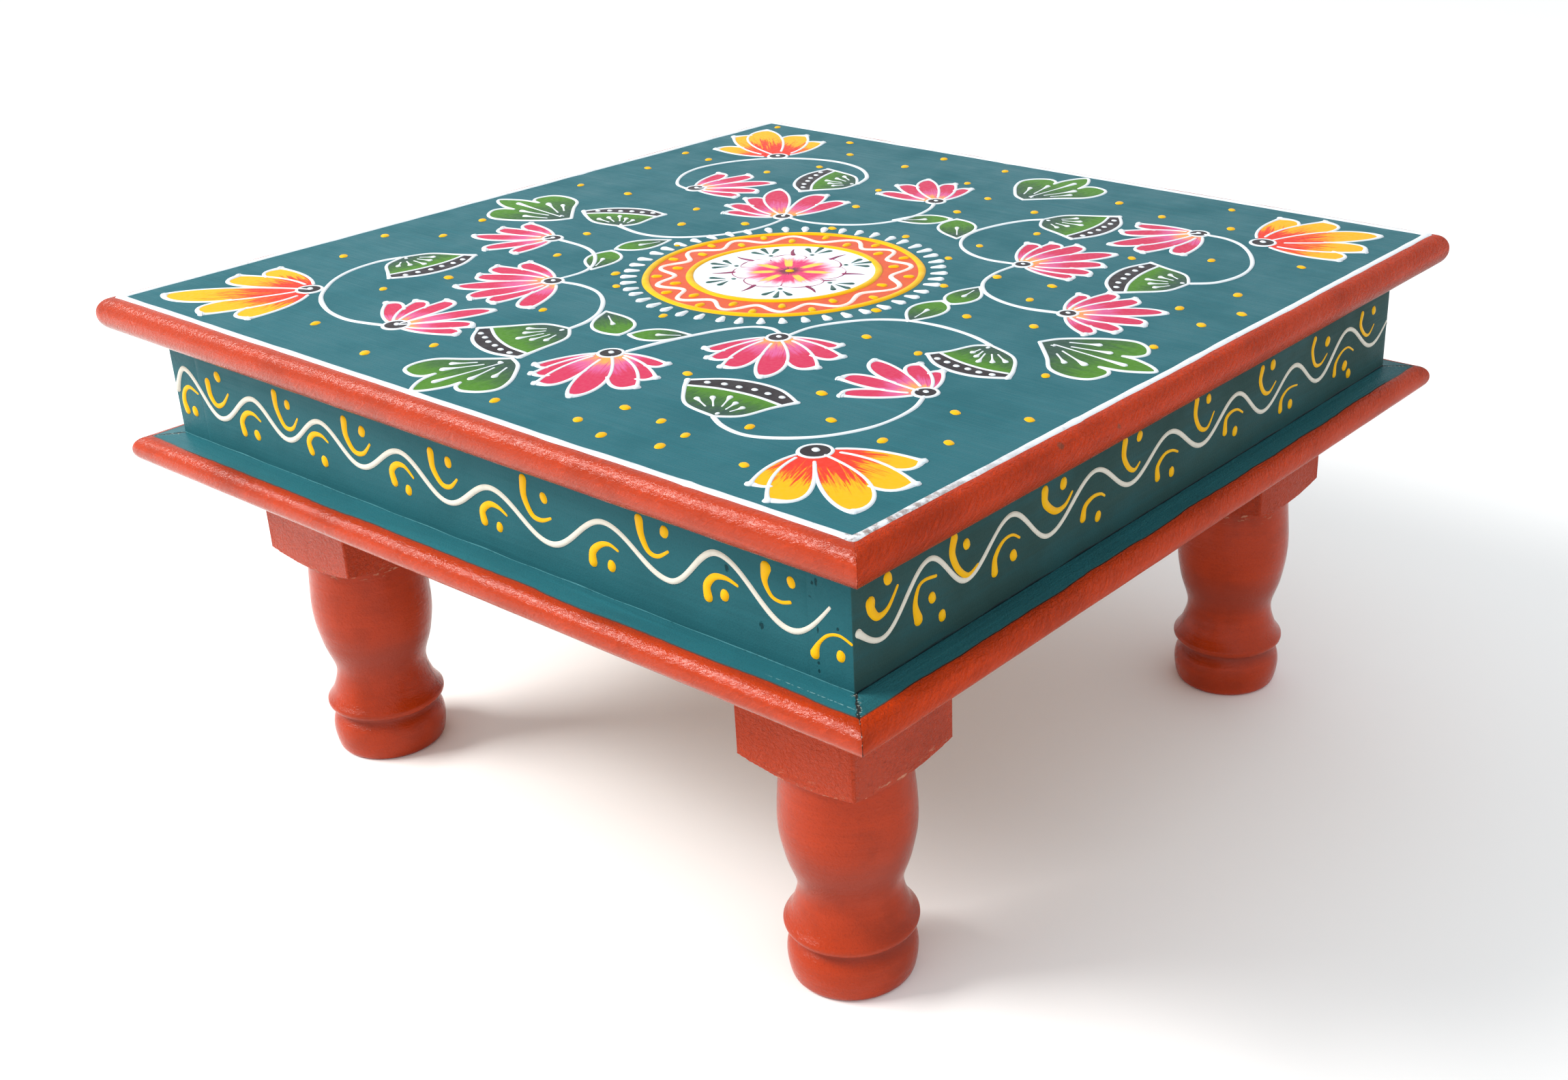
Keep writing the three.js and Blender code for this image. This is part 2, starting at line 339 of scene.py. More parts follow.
@functools.cache
def pits_group():
    """Open pores and torn fibres of the wood that show through its paint."""
    shader = Group("Open pores", {"Vector": None, "Scale": 400.0, "Amount": 0.5}, {**MASK, "Height": 0.5})
    given = shader.given
    tall = shader.stretched(given["Vector"], (1, 1, 0.5))
    crumbs = shader.cloud(tall, given["Scale"], 5, 0.62, 0.8)
    cells = shader.cells(tall, shader.times(given["Scale"], 0.8))
    ground = shader.times_plus(cells, 0.3, crumbs)
    limit = shader.times_plus(given["Amount"], 0.3, 0.36)
    pores = shader.steps(ground, shader.minus(limit, 0.1), limit, 1, 0)
    return shader.give(Mask=pores, Height=shader.times_plus(pores, -1.0, crumbs))


@functools.cache
def chips_group():
    """Small places where the paint has come off."""
    shader = Group("Paint chips", {"Vector": None, "Scale": 120.0, "Amount": 0.2}, MASK)
    given = shader.given
    shape = shader.cloud(given["Vector"], given["Scale"], 6, 0.68, 0.6)
    level = shader.minus(0.82, shader.times(given["Amount"], 0.3))
    return shader.give(Mask=shader.steps(shape, level, shader.plus(level, 0.025)))


@functools.cache
def dent_group():
    """One small dent at a point. Lift says how much taller than wide it is."""
    shader = Group("Dent", {"Vector": None, "Centre": None, "Radius": 0.001, "Lift": 1.0}, MASK)
    given = shader.given
    x, y, z = shader.apart(shader.vector_maths("SUBTRACT", given["Vector"], given["Centre"]))
    squashed = shader.joined(x, y, shader.maths("DIVIDE", z, given["Lift"]))
    reach = shader.vector_maths("LENGTH", squashed)
    ragged = shader.times_plus(shader.cloud(given["Vector"], 1500, 3), given["Radius"], reach)
    inner = shader.times(given["Radius"], 0.95)
    outer = shader.times(given["Radius"], 1.5)
    return shader.give(Mask=shader.steps(ragged, inner, outer, 1, 0))


@functools.cache
def mitre_group():
    """A ragged crack where two boards meet at 45 degrees. The vector is the place in the whole chowki."""
    shader = Group("Mitre crack", {"Vector": None, "Width": 0.001}, {**MASK, "Fleck": 0.0})
    given = shader.given
    vector = given["Vector"]
    x, y, _ = shader.apart(vector)
    off = shader.minus(shader.absolute(x), shader.absolute(y))
    ragged = shader.minus(shader.cloud(vector, 520, 4, 0.7), 0.5)
    reach = shader.absolute(shader.times_plus(ragged, shader.times(given["Width"], 3), off))
    width = shader.times(shader.steps(shader.cloud(vector, 300, 2), 0.35, 0.6, 0.3, 1), given["Width"])
    near = shader.steps(reach, width, shader.times(width, 2.4), 1, 0)
    specks = shader.steps(shader.cloud(vector, 1300, 3, 0.7), 0.56, 0.62)
    return shader.give(
        Mask=shader.steps(reach, shader.times(width, 0.6), width, 1, 0),
        Fleck=shader.times(near, specks),
    )


@functools.cache
def timber_group():
    """Planed softwood with growth lines along the third axis of the vector."""
    shader = Group("Planed timber", {"Vector": None, "Colour": GREY, "Deep": GREY}, COAT)
    given = shader.given
    bend = shader.drawn_out(given["Vector"], (22, 22, 4), 2)
    across = shader.apart(given["Vector"])[0]
    rings = shader.maths("SINE", shader.times_plus(bend, 34, shader.times(across, 900)))
    pores = shader.drawn_out(given["Vector"], (2200, 2200, 60), 3, 0.65)
    share = shader.times_plus(shader.steps(rings, -0.4, 1), 0.45, shader.times(pores, 0.5))
    return shader.give(
        Colour=shader.mix(share, given["Colour"], given["Deep"]),
        Gloss=shader.steps(pores, 0.3, 0.7, 0.58, 0.78),
        Height=shader.times_plus(rings, 0.12, pores),
    )


@functools.cache
def petal_group():
    """Colour along a petal or leaf. U of the vector runs from its root to its tip, V across it."""
    shader = Group("Petal wash", {
        "Vector": None, "Root": GREY, "Middle": GREY, "Tip": GREY, "Root end": 0.25, "Tip start": 0.6,
        "Blur": 0.15, "Streak": 0.4,
    }, {"Colour": GREY, "Streaks": 0.0, "Height": 0.5})
    given = shader.given
    along = shader.apart(given["Vector"])[0]
    strokes = shader.drawn_out(given["Vector"], (2.6, 46, 1), 4, 0.6, 0.3)
    broad = shader.drawn_out(given["Vector"], (3, 9, 1), 2)
    push = shader.times(shader.minus(strokes, 0.5), given["Streak"])
    swell = shader.times(shader.minus(broad, 0.5), 0.34)
    place = shader.plus(along, shader.plus(push, swell))

    def past(border):
        return shader.steps(place, shader.minus(border, given["Blur"]), shader.plus(border, given["Blur"]))

    lower = shader.mix(past(given["Root end"]), given["Root"], given["Middle"])
    return shader.give(
        Colour=shader.mix(past(given["Tip start"]), lower, given["Tip"]),
        Streaks=shader.steps(strokes, 0.52, 0.66),
        Height=strokes,
    )


@functools.cache
def poured_group():
    """Thick soft paint: small changes of tone, and a skin that isn't quite level."""
    shader = Group("Poured paint", {
        "Vector": None, "Colour": GREY, "Thin": GREY, "Grime": GREY, "Thinness": 0.3, "Dirt": 0.1,
    }, COAT)
    given = shader.given
    tone = shader.cloud(given["Vector"], 260, 4, 0.6)
    spots = shader.cloud(given["Vector"], 620, 5, 0.72)
    lumps = shader.cloud(given["Vector"], 900, 2)
    thin = shader.cover(shader.steps(tone, 0.45, 0.75), given["Thinness"], given["Colour"], given["Thin"])
    return shader.give(
        Colour=shader.cover(shader.steps(spots, 0.56, 0.68), given["Dirt"], thin, given["Grime"]),
        Gloss=shader.steps(tone, 0.3, 0.7, 0.3, 0.48),
        Height=shader.times_plus(lumps, 0.6, shader.times(spots, 0.25)),
    )


def shade(colour, factor):
    return tuple(min(1, channel * factor) for channel in colour[:3])


class Finish(Shader):
    """A new material with its Principled shader."""

    def __init__(self, name, specular, coat=0.0, coat_roughness=0.1, metallic=0.0):
        material = bpy.data.materials.new(name)
        material.use_nodes = True
        material.node_tree.nodes.clear()
        super().__init__(material.node_tree)
        self.material = material
        self.surface = self.node("ShaderNodeBsdfPrincipled", {
            "Specular IOR Level": specular, "Coat Weight": coat, "Coat Roughness": coat_roughness,
            "Metallic": metallic,
        })
        output = self.node("ShaderNodeOutputMaterial")
        self.feed(output.inputs["Surface"], self.surface.outputs[0])

    def grain(self):
        return self.node("ShaderNodeAttribute", attribute_name="grain").outputs["Vector"]

    def weather(self):
        return self.node("ShaderNodeAttribute", attribute_name="weather").outputs["Fac"]

    def place(self):
        return self.node("ShaderNodeTexCoord").outputs["Object"]

    def paint_map(self):
        return self.node("ShaderNodeUVMap", uv_map="paint").outputs[0]

    def enamel(self, grain, colour, deep, bright, **settings):
        """Brushed enamel. Its deep and bright strokes are given as factors on its colour."""
        return self.group(enamel_group, vector=grain, colour=colour, deep=shade(colour, deep),
                          bright=shade(colour, bright), **settings)

    def dent(self, x, y, z, radius, lift):
        """The mask of one small mark, at a place in millimetres."""
        marked = self.group(dent_group, vector=self.place(), centre=(x * MM, y * MM, z * MM),
                            radius=radius * MM, lift=lift)
        return marked["Mask"]

    def between(self, place, low, high, low_to=0.0, high_to=1.0):
        """Eases from one value to another between two places in millimetres."""
        return self.steps(place, low * MM, high * MM, low_to, high_to)

    def near(self, value, middle, inner, outer, share):
        """A mask round one value: whole up to the inner distance and gone at the outer one."""
        return self.between(self.absolute(self.minus(value, middle * MM)), inner, outer, share, 0)

    def done(self, colour, gloss, height, depth, strength):
        """Ends a finish. The depth of its relief is given in millimetres."""
        bump = self.node("ShaderNodeBump", {"Height": height, "Distance": depth * MM, "Strength": strength})
        self.feed(self.surface.inputs["Base Color"], colour)
        self.feed(self.surface.inputs["Roughness"], gloss)
        self.feed(self.surface.inputs["Normal"], bump.outputs[0])
        return self.material

    def thin_paint(self, colour, smoothest, roughest, petal=None):
        """Ends a finish of thinly brushed paint, with the strokes of a petal where one is given."""
        skin = self.cloud(self.place(), 700, 3)
        height = self.times_plus(petal["Height"], 0.8, skin) if petal else skin
        return self.done(colour, self.steps(skin, 0.3, 0.7, smoothest, roughest), height, 0.1, 0.5)


# Small dents of the front board and marks of the seam behind its paint: x, height, radius and lift
DENTS = (
    (99, 136.2, 0.75, 1.7), (109.6, 123.9, 0.95, 1.3), (127.6, 141, 0.5, 2.6), (127.6, 128.4, 0.4, 2.4),
    (127.4, 119.6, 0.5, 1.2), (127.5, 117.4, 0.45, 1.6), (127.6, 113.4, 0.4, 3.0), (133.8, 130.6, 0.5, 1.2),
    (126.4, 140.4, 0.5, 1.2),
)
# Grey stains on the round edge of the rim: place, radius and lift
RIM_STAINS = ((150.6, -73.2, 158.6, 1.5, 0.8), (151.6, -49, 156.2, 1.1, 0.8))
# A pale scratch on the rim beside the near corner: place, radius and lift
RIM_SCRATCHES = ((145.2, -150.7, 153.3, 1.3, 0.3), (147.6, -150.7, 154.6, 1.0, 0.35))

# What the painted side shade, together with ageing, multiplies the colours of the enamel by
SHADED_AGED_TEAL = (1.8, 0.56, 0.43)
SHADED_AGED_ORANGE = (0.9, 0.78, 0.6)

# Dirt, bare places and cracks of each painted part, with the painted shade under the round edges and in the
# hollows and pits of the legs
TEAL_CHIP = srgb(150, 180, 178)
TEAL_SCUFF = srgb(136, 176, 178)
RIM_UNDER_SHADE = srgb(112, 50, 26)
RIM_STAIN = srgb(104, 70, 52)
RIM_SCRATCH = srgb(236, 164, 140)
RIM_CHIP = srgb(214, 160, 118)
RIM_CRACK = srgb(120, 36, 22)
RIM_FLECK = srgb(232, 120, 96)
PLINTH_UNDER_SHADE = srgb(160, 74, 34)
PLINTH_LINE = srgb(84, 58, 44)
PLINTH_CRACK = srgb(46, 34, 30)
PLINTH_FLECK = srgb(176, 184, 176)
LEG_HOLLOW_SHADE = srgb(140, 52, 34)
LEG_SCRAPE = srgb(214, 156, 124)
LEG_PIT_SHADE = srgb(138, 40, 20)
BORDER_SMUDGE = srgb(138, 122, 118)
GRIME = (112, 98, 82)

# The paint of the round edges on the front and left, where it is fresh, and on the right and back, where it
# is dull: its shine, factors on its colour, set for each side together with the painted side shade, its
# roughness, how wrinkled it is, and the strength of its relief
FRESH = (0.22, 0.93, 0.3, 2.8, 0.28)
DULL = (0.07, 1.2, 0.5, 2.4, 0.9)

# Millimetres: how far out the teal of the plinth reaches, where the scuffed line on its front lies, and how
# wide the cracks at the mitres are
TEAL_REACH = 145.7
SCUFF_REACH = 143.4
SCUFF_START = 112
SCUFF_FULL = 122
RIM_CRACK_WIDTH = 0.16
PLINTH_CRACK_WIDTH = 0.2
TEAL_CRACK_WIDTH = 0.85


def teal_finish():
    """Teal enamel, with a few deep pores and the dents of the front board, painted dark as shade in these
    hollows.
    """
    finish = Finish("teal enamel", specular=0.06)
    teal = tuple(colours().teal)
    grain = finish.grain()
    enamel = finish.enamel(grain, teal, 0.74, 1.25, aged=SHADED_AGED_TEAL, weather=finish.weather(), streak=0.3,
                           mottle=0.4, flake=0.12)
    pores = finish.group(pits_group, vector=grain, scale=420.0, amount=0.1)
    chips = finish.group(chips_group, vector=grain, scale=260.0, amount=0.1)
    sparse = finish.steps(finish.cloud(grain, 30, 2), 0.5, 0.6)
    holes = finish.times(pores["Mask"], sparse)
    for x, height, radius, lift in DENTS:
        holes = finish.maths("MAXIMUM", holes, finish.dent(x, -BOX_OUTER, height, radius, lift))
    # Painted shade: the pores and dents are darkened nearly to black
    dark = finish.cover(holes, 0.8, enamel["Colour"], shade(teal, 0.2))
    colour = finish.cover(chips["Mask"], 0.5, dark, TEAL_CHIP)
    height = finish.times_plus(holes, -1.6, enamel["Height"])
    return finish.done(colour, enamel["Gloss"], height, 0.18, 0.6)


def orange_finish(name, shine, strength, roughness, wrinkles, relief):
    """Orange enamel brushed along the round edges, with browner patches and a few bare flecks."""
    finish = Finish(name, specular=shine)
    grain = finish.grain()
    place = finish.place()
    enamel = finish.enamel(grain, shade(colours().orange, strength), 0.62, 1.3, aged=SHADED_AGED_ORANGE,
                           weather=finish.weather(), streak=0.5, mottle=0.6, flake=wrinkles)
    pores = finish.group(pits_group, vector=grain, scale=900.0, amount=0.12)
    chips = finish.group(chips_group, vector=grain, scale=260.0, amount=0.13)
    mitre = finish.group(mitre_group, vector=place, width=RIM_CRACK_WIDTH * MM)
    # Painted shade: the lower part of the round edge is darkened towards its underside, more on the sides
    # turned away from the light
    low = finish.between(finish.apart(place)[2], RIM_BOTTOM - 1, RIM_BOTTOM + 6, 0.62, 0)
    under = finish.times(low, finish.times_plus(finish.weather(), 0.7, 0.55))
    worn = finish.mix(under, enamel["Colour"], RIM_UNDER_SHADE)
    for marks, tint in ((RIM_STAINS, RIM_STAIN), (RIM_SCRATCHES, RIM_SCRATCH)):
        for mark in marks:
            worn = finish.cover(finish.dent(*mark), 0.6, worn, tint)
    chipped = finish.cover(chips["Mask"], 0.6, worn, RIM_CHIP)
    cracked = finish.cover(mitre["Mask"], 0.4, chipped, RIM_CRACK)
    colour = finish.cover(mitre["Fleck"], 0.6, cracked, RIM_FLECK)
    skin = finish.times_plus(pores["Height"], 0.5, enamel["Height"])
    height = finish.times_plus(mitre["Mask"], -0.7, skin)
    return finish.done(colour, finish.times(enamel["Gloss"], roughness), height, 0.4, relief)


def plinth_finish(name, shine, strength, roughness, wrinkles, relief):
    """The plinth is teal on its flat and orange on its round edge, parted by a hand-drawn line."""
    finish = Finish(name, specular=shine)
    grain = finish.grain()
    place = finish.place()
    x, y, z = finish.apart(place)
    weather = finish.times(finish.weather(), 0.35)
    warm = finish.enamel(grain, shade(colours().orange, strength), 0.6, 1.3, aged=SHADED_AGED_ORANGE,
                         weather=weather, streak=0.5, mottle=0.7, flake=wrinkles)
    # The plinth's teal is painted lighter than the teal of the box, a painted lift against the shade at the
    # foot of the box
    cool = finish.enamel(grain, shade(colours().teal, 1.27), 0.74, 1.4, aged=SHADED_AGED_TEAL, weather=weather,
                         streak=0.4, mottle=0.45, flake=0.1)
    pores = finish.group(pits_group, vector=grain, scale=800.0, amount=0.12)

    reach = finish.maths("MAXIMUM", finish.absolute(x), finish.absolute(y))
    wander = finish.times(finish.minus(finish.cloud(grain, 36, 4), 0.5), 3.0 * MM)
    line = finish.plus(reach, wander)
    outer = finish.between(line, TEAL_REACH, TEAL_REACH + 0.25)
    edge_of_teal = finish.near(line, TEAL_REACH + 0.05, 0.1, 0.45, 0.55)
    above = finish.between(z, PLINTH_BOTTOM + 1, PLINTH_BOTTOM + 2)
    is_teal = finish.times(finish.minus(1, outer), above)

    scuff = finish.near(y, -SCUFF_REACH, 0.06, 0.22, 0.6)
    broken = finish.times(finish.between(x, SCUFF_START, SCUFF_FULL),
                          finish.steps(finish.cloud(place, 900, 3), 0.44, 0.54))
    # Painted shade: the round edge of the plinth is darkened towards its underside
    under = finish.between(z, PLINTH_BOTTOM - 0.5, PLINTH_BOTTOM + 3.5, 0.55, 0)
    soiled = finish.mix(under, warm["Colour"], PLINTH_UNDER_SHADE)
    scuffed_and_glinting = finish.cover(scuff, broken, cool["Colour"], TEAL_SCUFF)
    lined = finish.cover(edge_of_teal, above, finish.mix(is_teal, soiled, scuffed_and_glinting), PLINTH_LINE)
    width = finish.times_plus(is_teal, (TEAL_CRACK_WIDTH - PLINTH_CRACK_WIDTH) * MM, PLINTH_CRACK_WIDTH * MM)
    mitre = finish.group(mitre_group, vector=place, width=width)
    cracked = finish.cover(mitre["Mask"], 0.85, lined, PLINTH_CRACK)
    colour = finish.cover(mitre["Fleck"], 0.7, cracked, PLINTH_FLECK)

    gloss = finish.times(warm["Gloss"], finish.times_plus(is_teal, 1 - roughness, roughness))
    skin = finish.times_plus(pores["Height"], 0.5, finish.mix(is_teal, warm["Height"], cool["Height"]))
    height = finish.times_plus(mitre["Mask"], -1.2, finish.times_plus(outer, 0.6, skin))
    return finish.done(colour, gloss, height, 0.4, relief)


def leg_finish():
    """Orange enamel on turned wood: lathe lines, torn fibres on the block, hollows and pits painted darker as
    shade, a scraped neck.
    """
    finish = Finish("leg enamel", specular=0.19, coat=0.05, coat_roughness=0.14)
    orange = tuple(colours().orange)
    grain = finish.grain()
    height = finish.apart(grain)[0]
    rough = finish.node("ShaderNodeAttribute", attribute_name="torn").outputs["Fac"]
    enamel = finish.group(enamel_group, vector=grain, colour=shade(orange, 0.9), deep=shade(orange, 0.58),
                          bright=shade(orange, 1.15), aged=SHADED_AGED_ORANGE, weather=0.0, streak=0.3, mottle=0.8,
                          flake=0.8)
    turning = finish.cloud(finish.joined(0.0, 0.0, height), 900, 2)
    pores = finish.group(pits_group, vector=grain, scale=1000.0, amount=0.5)
    crinkle = finish.cloud(grain, 1100, 3, 0.6, 0.6)

    # Painted shade: the waist and the groove of the turning are darkened
    hollows = finish.maths("MAXIMUM", finish.near(height, WAIST_Z, 0, 11, 0.74),
                           finish.near(height, GROOVE_Z, 0, 3.2, 0.8))
    neck = finish.near(height, NECK_Z + 1, 0, 4.2, 1)
    tone = finish.mix(hollows, enamel["Colour"], LEG_HOLLOW_SHADE)
    scrapes = finish.group(chips_group, vector=finish.stretched(grain, (3.2, 1, 1)), scale=300.0, amount=0.8)
    bare = finish.times(scrapes["Mask"], neck)
    scraped = finish.cover(bare, 0.6, tone, LEG_SCRAPE)
    # The torn side of the block is painted lighter, a painted lift against the shade of its own deep relief
    thick = finish.cover(rough, 0.6, scraped, shade(orange, 1.3))
    # Painted shade: the pits of the torn side are darkened
    pitted = finish.times(pores["Mask"], rough)
    colour = finish.cover(pitted, 0.2, thick, LEG_PIT_SHADE)

    pore_relief = finish.times(finish.minus(pores["Height"], 0.5), 0.5)
    leathery = finish.times_plus(finish.minus(crinkle, 0.5), 2.2, pore_relief)
    torn = finish.times(leathery, finish.times_plus(rough, 6.6, 0.3))
    relief = finish.plus(finish.times_plus(turning, 0.35, enamel["Height"]), torn)
    lowered = finish.times_plus(bare, -0.6, relief)
    gloss = finish.times(enamel["Gloss"], finish.times_plus(rough, 0.9, 0.45))
    return finish.done(colour, gloss, lowered, 0.24, 0.7)


def timber_finish():
    finish = Finish("bare timber", specular=0.3)
    timber = tuple(colours().timber)
    wood = finish.group(timber_group, vector=finish.grain(), colour=timber, deep=shade(timber, 0.55))
    return finish.done(wood["Colour"], wood["Gloss"], wood["Height"], 0.15, 0.6)


def steel_finish():
    """Nails: scratched steel, with rust in patches."""
    finish = Finish("nail steel", specular=0.5, metallic=1.0)
    place = finish.place()
    scratches = finish.cloud(place, 2600, 4, 0.7)
    rust = finish.steps(finish.cloud(place, 700, 4, 0.65), 0.5, 0.7)
    steel = finish.mix(scratches, srgb(120, 122, 126), srgb(188, 190, 192))
    colour = finish.mix(rust, steel, srgb(120, 74, 46))
    return finish.done(colour, finish.steps(scratches, 0.2, 0.8, 0.28, 0.6), scratches, 0.04, 0.5)


def poured_finish(name, colour, thin, grime, thinness, dirt):
    finish = Finish(name, specular=0.12)
    paint = finish.group(poured_group, vector=finish.place(), colour=tuple(colour), thin=thin, grime=grime,
                         thinness=thinness, dirt=dirt)
    return finish.done(paint["Colour"], paint["Gloss"], paint["Height"], 0.12, 0.5)


def border_finish():
    """The white border, soiled where hands have worn it beside the near corner."""
    finish = Finish("border paint", specular=0.2)
    place = finish.place()
    x, y, _ = finish.apart(place)
    paint = finish.group(poured_group, vector=place, colour=tuple(colours().white), thin=srgb(208, 210, 212),
                         grime=srgb(132, 116, 112), thinness=0.4, dirt=0.3)
    beside = finish.times(finish.between(x, 143, 144), finish.between(y, -140, -60, 1, 0))
    smudges = finish.steps(finish.cloud(place, 420, 5, 0.7), 0.4, 0.62)
    soiled = finish.cover(beside, smudges, paint["Colour"], BORDER_SMUDGE)
    return finish.done(soiled, paint["Gloss"], paint["Height"], 0.12, 0.5)


def lotus_finish():
    """Pink petals: orange-yellow at the root, a lilac blush, then hot pink."""
    finish = Finish("pink lotus paint", specular=0.08)
    petal = finish.group(petal_group, vector=finish.paint_map(), root=srgb(232, 150, 72),
                         middle=srgb(200, 86, 138), tip=tuple(colours().pink), root_end=0.24, tip_start=0.46,
                         blur=0.12, streak=0.5)
    streaked = finish.cover(petal["Streaks"], 0.35, petal["Colour"], srgb(188, 30, 70))
    return finish.thin_paint(streaked, 0.32, 0.48, petal)


def ember_finish():
    """Corner lotus petals: red-orange at the root, combed into warm yellow."""
    finish = Finish("yellow lotus paint", specular=0.06)
    paint_map = finish.paint_map()
    petal = finish.group(petal_group, vector=paint_map, root=srgb(212, 50, 34), middle=srgb(226, 84, 20),
                         tip=srgb(230, 166, 0), root_end=0.42, tip_start=0.52, blur=0.03, streak=1.5)
    along = finish.apart(paint_map)[0]
    combed = finish.times(finish.steps(along, 0.3, 0.45), finish.steps(along, 0.62, 0.8, 1, 0))
    streaked = finish.cover(petal["Streaks"], finish.times(combed, 0.6), petal["Colour"], srgb(196, 44, 34))
    return finish.thin_paint(streaked, 0.32, 0.48, petal)


def leaf_finish():
    """Leaves: dark green wash at the stem, combed into fresh green."""
    finish = Finish("leaf paint", specular=0.08)
    petal = finish.group(petal_group, vector=finish.paint_map(), root=srgb(44, 72, 62),
                         middle=srgb(52, 94, 42), tip=tuple(colours().green), root_end=0.3, tip_start=0.58,
                         blur=0.12, streak=0.7)
    streaked = finish.cover(petal["Streaks"], 0.3, petal["Colour"], srgb(52, 96, 44))
    return finish.thin_paint(streaked, 0.34, 0.5, petal)


def rosette_finish():
    """The flower of the middle: pale edges, deep pink rays and a yellow flame along each petal."""
    finish = Finish("rosette paint", specular=0.25)
    heart_place = (HEART[0] * MM, HEART[1] * MM, TOP * MM)
    x, y, _ = finish.apart(finish.vector_maths("SUBTRACT", finish.place(), heart_place))
    flat = finish.joined(x, y, 0.0)
    direction = finish.vector_maths("NORMALIZE", flat)
    far = finish.maths("DIVIDE", finish.vector_maths("LENGTH", flat), ROSETTE_RADIUS * MM)
    nearness = 0.0
    for angle, _ in ROSETTE_RIM[::2]:
        along = finish.vector_maths("DOT_PRODUCT", direction, (*heading(angle), 0))
        nearness = finish.maths("MAXIMUM", along, nearness)
    turn = finish.apart(direction)
    rays = finish.cloud(finish.joined(turn[0], turn[1], finish.times(far, 0.25)), 9, 4, 0.6)
    ragged = finish.times_plus(finish.minus(rays, 0.5), 0.6, far)
    pale = finish.mix(finish.steps(ragged, 0.52, 0.88), srgb(206, 34, 98), srgb(248, 222, 236))
    width = finish.steps(far, 0.25, 0.65, 0.984, 0.996)
    flame = finish.steps(finish.times_plus(rays, 0.012, nearness), width, finish.plus(width, 0.006))
    length = finish.times(finish.steps(far, 0.22, 0.34), finish.steps(ragged, 0.6, 0.74, 1, 0))
    lit = finish.cover(flame, length, pale, srgb(252, 190, 70))
    colour = finish.mix(finish.steps(ragged, 0.12, 0.24, 1, 0), lit, srgb(96, 20, 46))
    return finish.thin_paint(colour, 0.36, 0.5)


def floor_finish():
    finish = Finish("studio floor", specular=0.1)
    place = finish.place()
    tone = finish.mix(finish.cloud(place, 3, 2), srgb(246, 246, 246), srgb(250, 250, 250))
    gloss = finish.steps(finish.cloud(place, 12, 2), 0.3, 0.7, 0.85, 0.95)
    return finish.done(tone, gloss, finish.cloud(place, 200, 2), 0.01, 0.1)


def poured(name, colour, thin, grime, thinness, dirt):
    """A maker for a poured paint. The colour is a screen colour or the name of a colour setting."""

    def make():
        chosen = getattr(colours(), colour) if isinstance(colour, str) else srgb(*colour)
        return poured_finish(name, chosen, srgb(*thin), srgb(*grime), thinness, dirt)

    return make


MATERIAL_MAKERS = {
    "teal": teal_finish,
    "orange": lambda: orange_finish("orange enamel", *FRESH),
    "dull_orange": lambda: orange_finish("dull orange enamel", *DULL),
    "plinth": lambda: plinth_finish("plinth enamel", *FRESH),
    "dull_plinth": lambda: plinth_finish("dull plinth enamel", *DULL),
    "leg": leg_finish,
    "timber": timber_finish,
    "steel": steel_finish,
    "lotus": lotus_finish,
    "ember": ember_finish,
    "leaf": leaf_finish,
    "rosette": rosette_finish,
    "floor": floor_finish,
    "white": poured("white paint", "white", (206, 224, 228), GRIME, 0.35, 0.1),
    "border": border_finish,
    "cream": poured("cream paint", "cream", (188, 190, 180), GRIME, 0.4, 0.12),
    "rose_white": poured("rose white paint", (250, 222, 214), (244, 178, 160), GRIME, 0.5, 0.04),
    "yellow": poured("yellow paint", "yellow", (226, 150, 4), (140, 86, 10), 0.35, 0.12),
    "ink": poured("ink paint", "ink", (50, 42, 48), (70, 62, 62), 0.4, 0.1),
    "plum": poured("plum paint", (122, 34, 74), (160, 78, 118), (90, 30, 50), 0.6, 0.1),
    "bottle": poured("bottle green paint", (44, 78, 74), (84, 122, 116), (30, 50, 48), 0.6, 0.1),
    "porcelain": poured("porcelain paint", (222, 232, 240), (198, 216, 230), (190, 190, 200), 0.6, 0.1),
    "coral": poured("coral paint", (200, 76, 38), (212, 104, 60), (170, 56, 34), 0.7, 0.25),
    # The seam paint is a pale teal that stands for a highlight along the seam
    "seam": poured("seam paint", (66, 128, 136), (34, 92, 100), (30, 60, 62), 1.0, 0.5),
    "gap": poured("seam shadow", (12, 30, 34), (24, 60, 64), (50, 84, 86), 0.7, 0.25),
}


@functools.cache
def material_named(name):
    return MATERIAL_MAKERS[name]()


# Making pieces


def link_piece(name, mesh, material_names, slot, replaced=()):
    """Puts a finished mesh in the scene as a piece that rides on the chowki."""
    piece = bpy.data.objects.new(name, mesh)
    bpy.context.scene.collection.objects.link(piece)
    for material_name in material_names:
        mesh.materials.append(material_named(material_name))
    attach(piece, "root")
    if replaced:
        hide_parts(*replaced)
    return piece


def finish_bmesh(bm, name):
    """Closes seams, turns every face outwards and gives a mesh."""
    bmesh.ops.remove_doubles(bm, verts=bm.verts, dist=0.0002 * MM)
    bmesh.ops.recalc_face_normals(bm, faces=bm.faces)
    mesh = bpy.data.meshes.new(name)
    bm.to_mesh(mesh)
    bm.free()
    return mesh


def soften(bm, sharp_degrees):
    """Smooth shading, apart from edges that turn more than the given angle."""
    for face in bm.faces:
        face.smooth = True
    for edge in bm.edges:
        if len(edge.link_faces) == 2:
            edge.smooth = edge.calc_face_angle(0) < math.radians(sharp_degrees)


def record_grain(bm, offset):
    """Keeps each point's place in its own board, so that a finish runs along the board."""
    layer = bm.verts.layers.float_vector.new("grain")
    for vert in bm.verts:
        vert[layer] = Vector((vert.co.y, vert.co.z, vert.co.x)) + offset


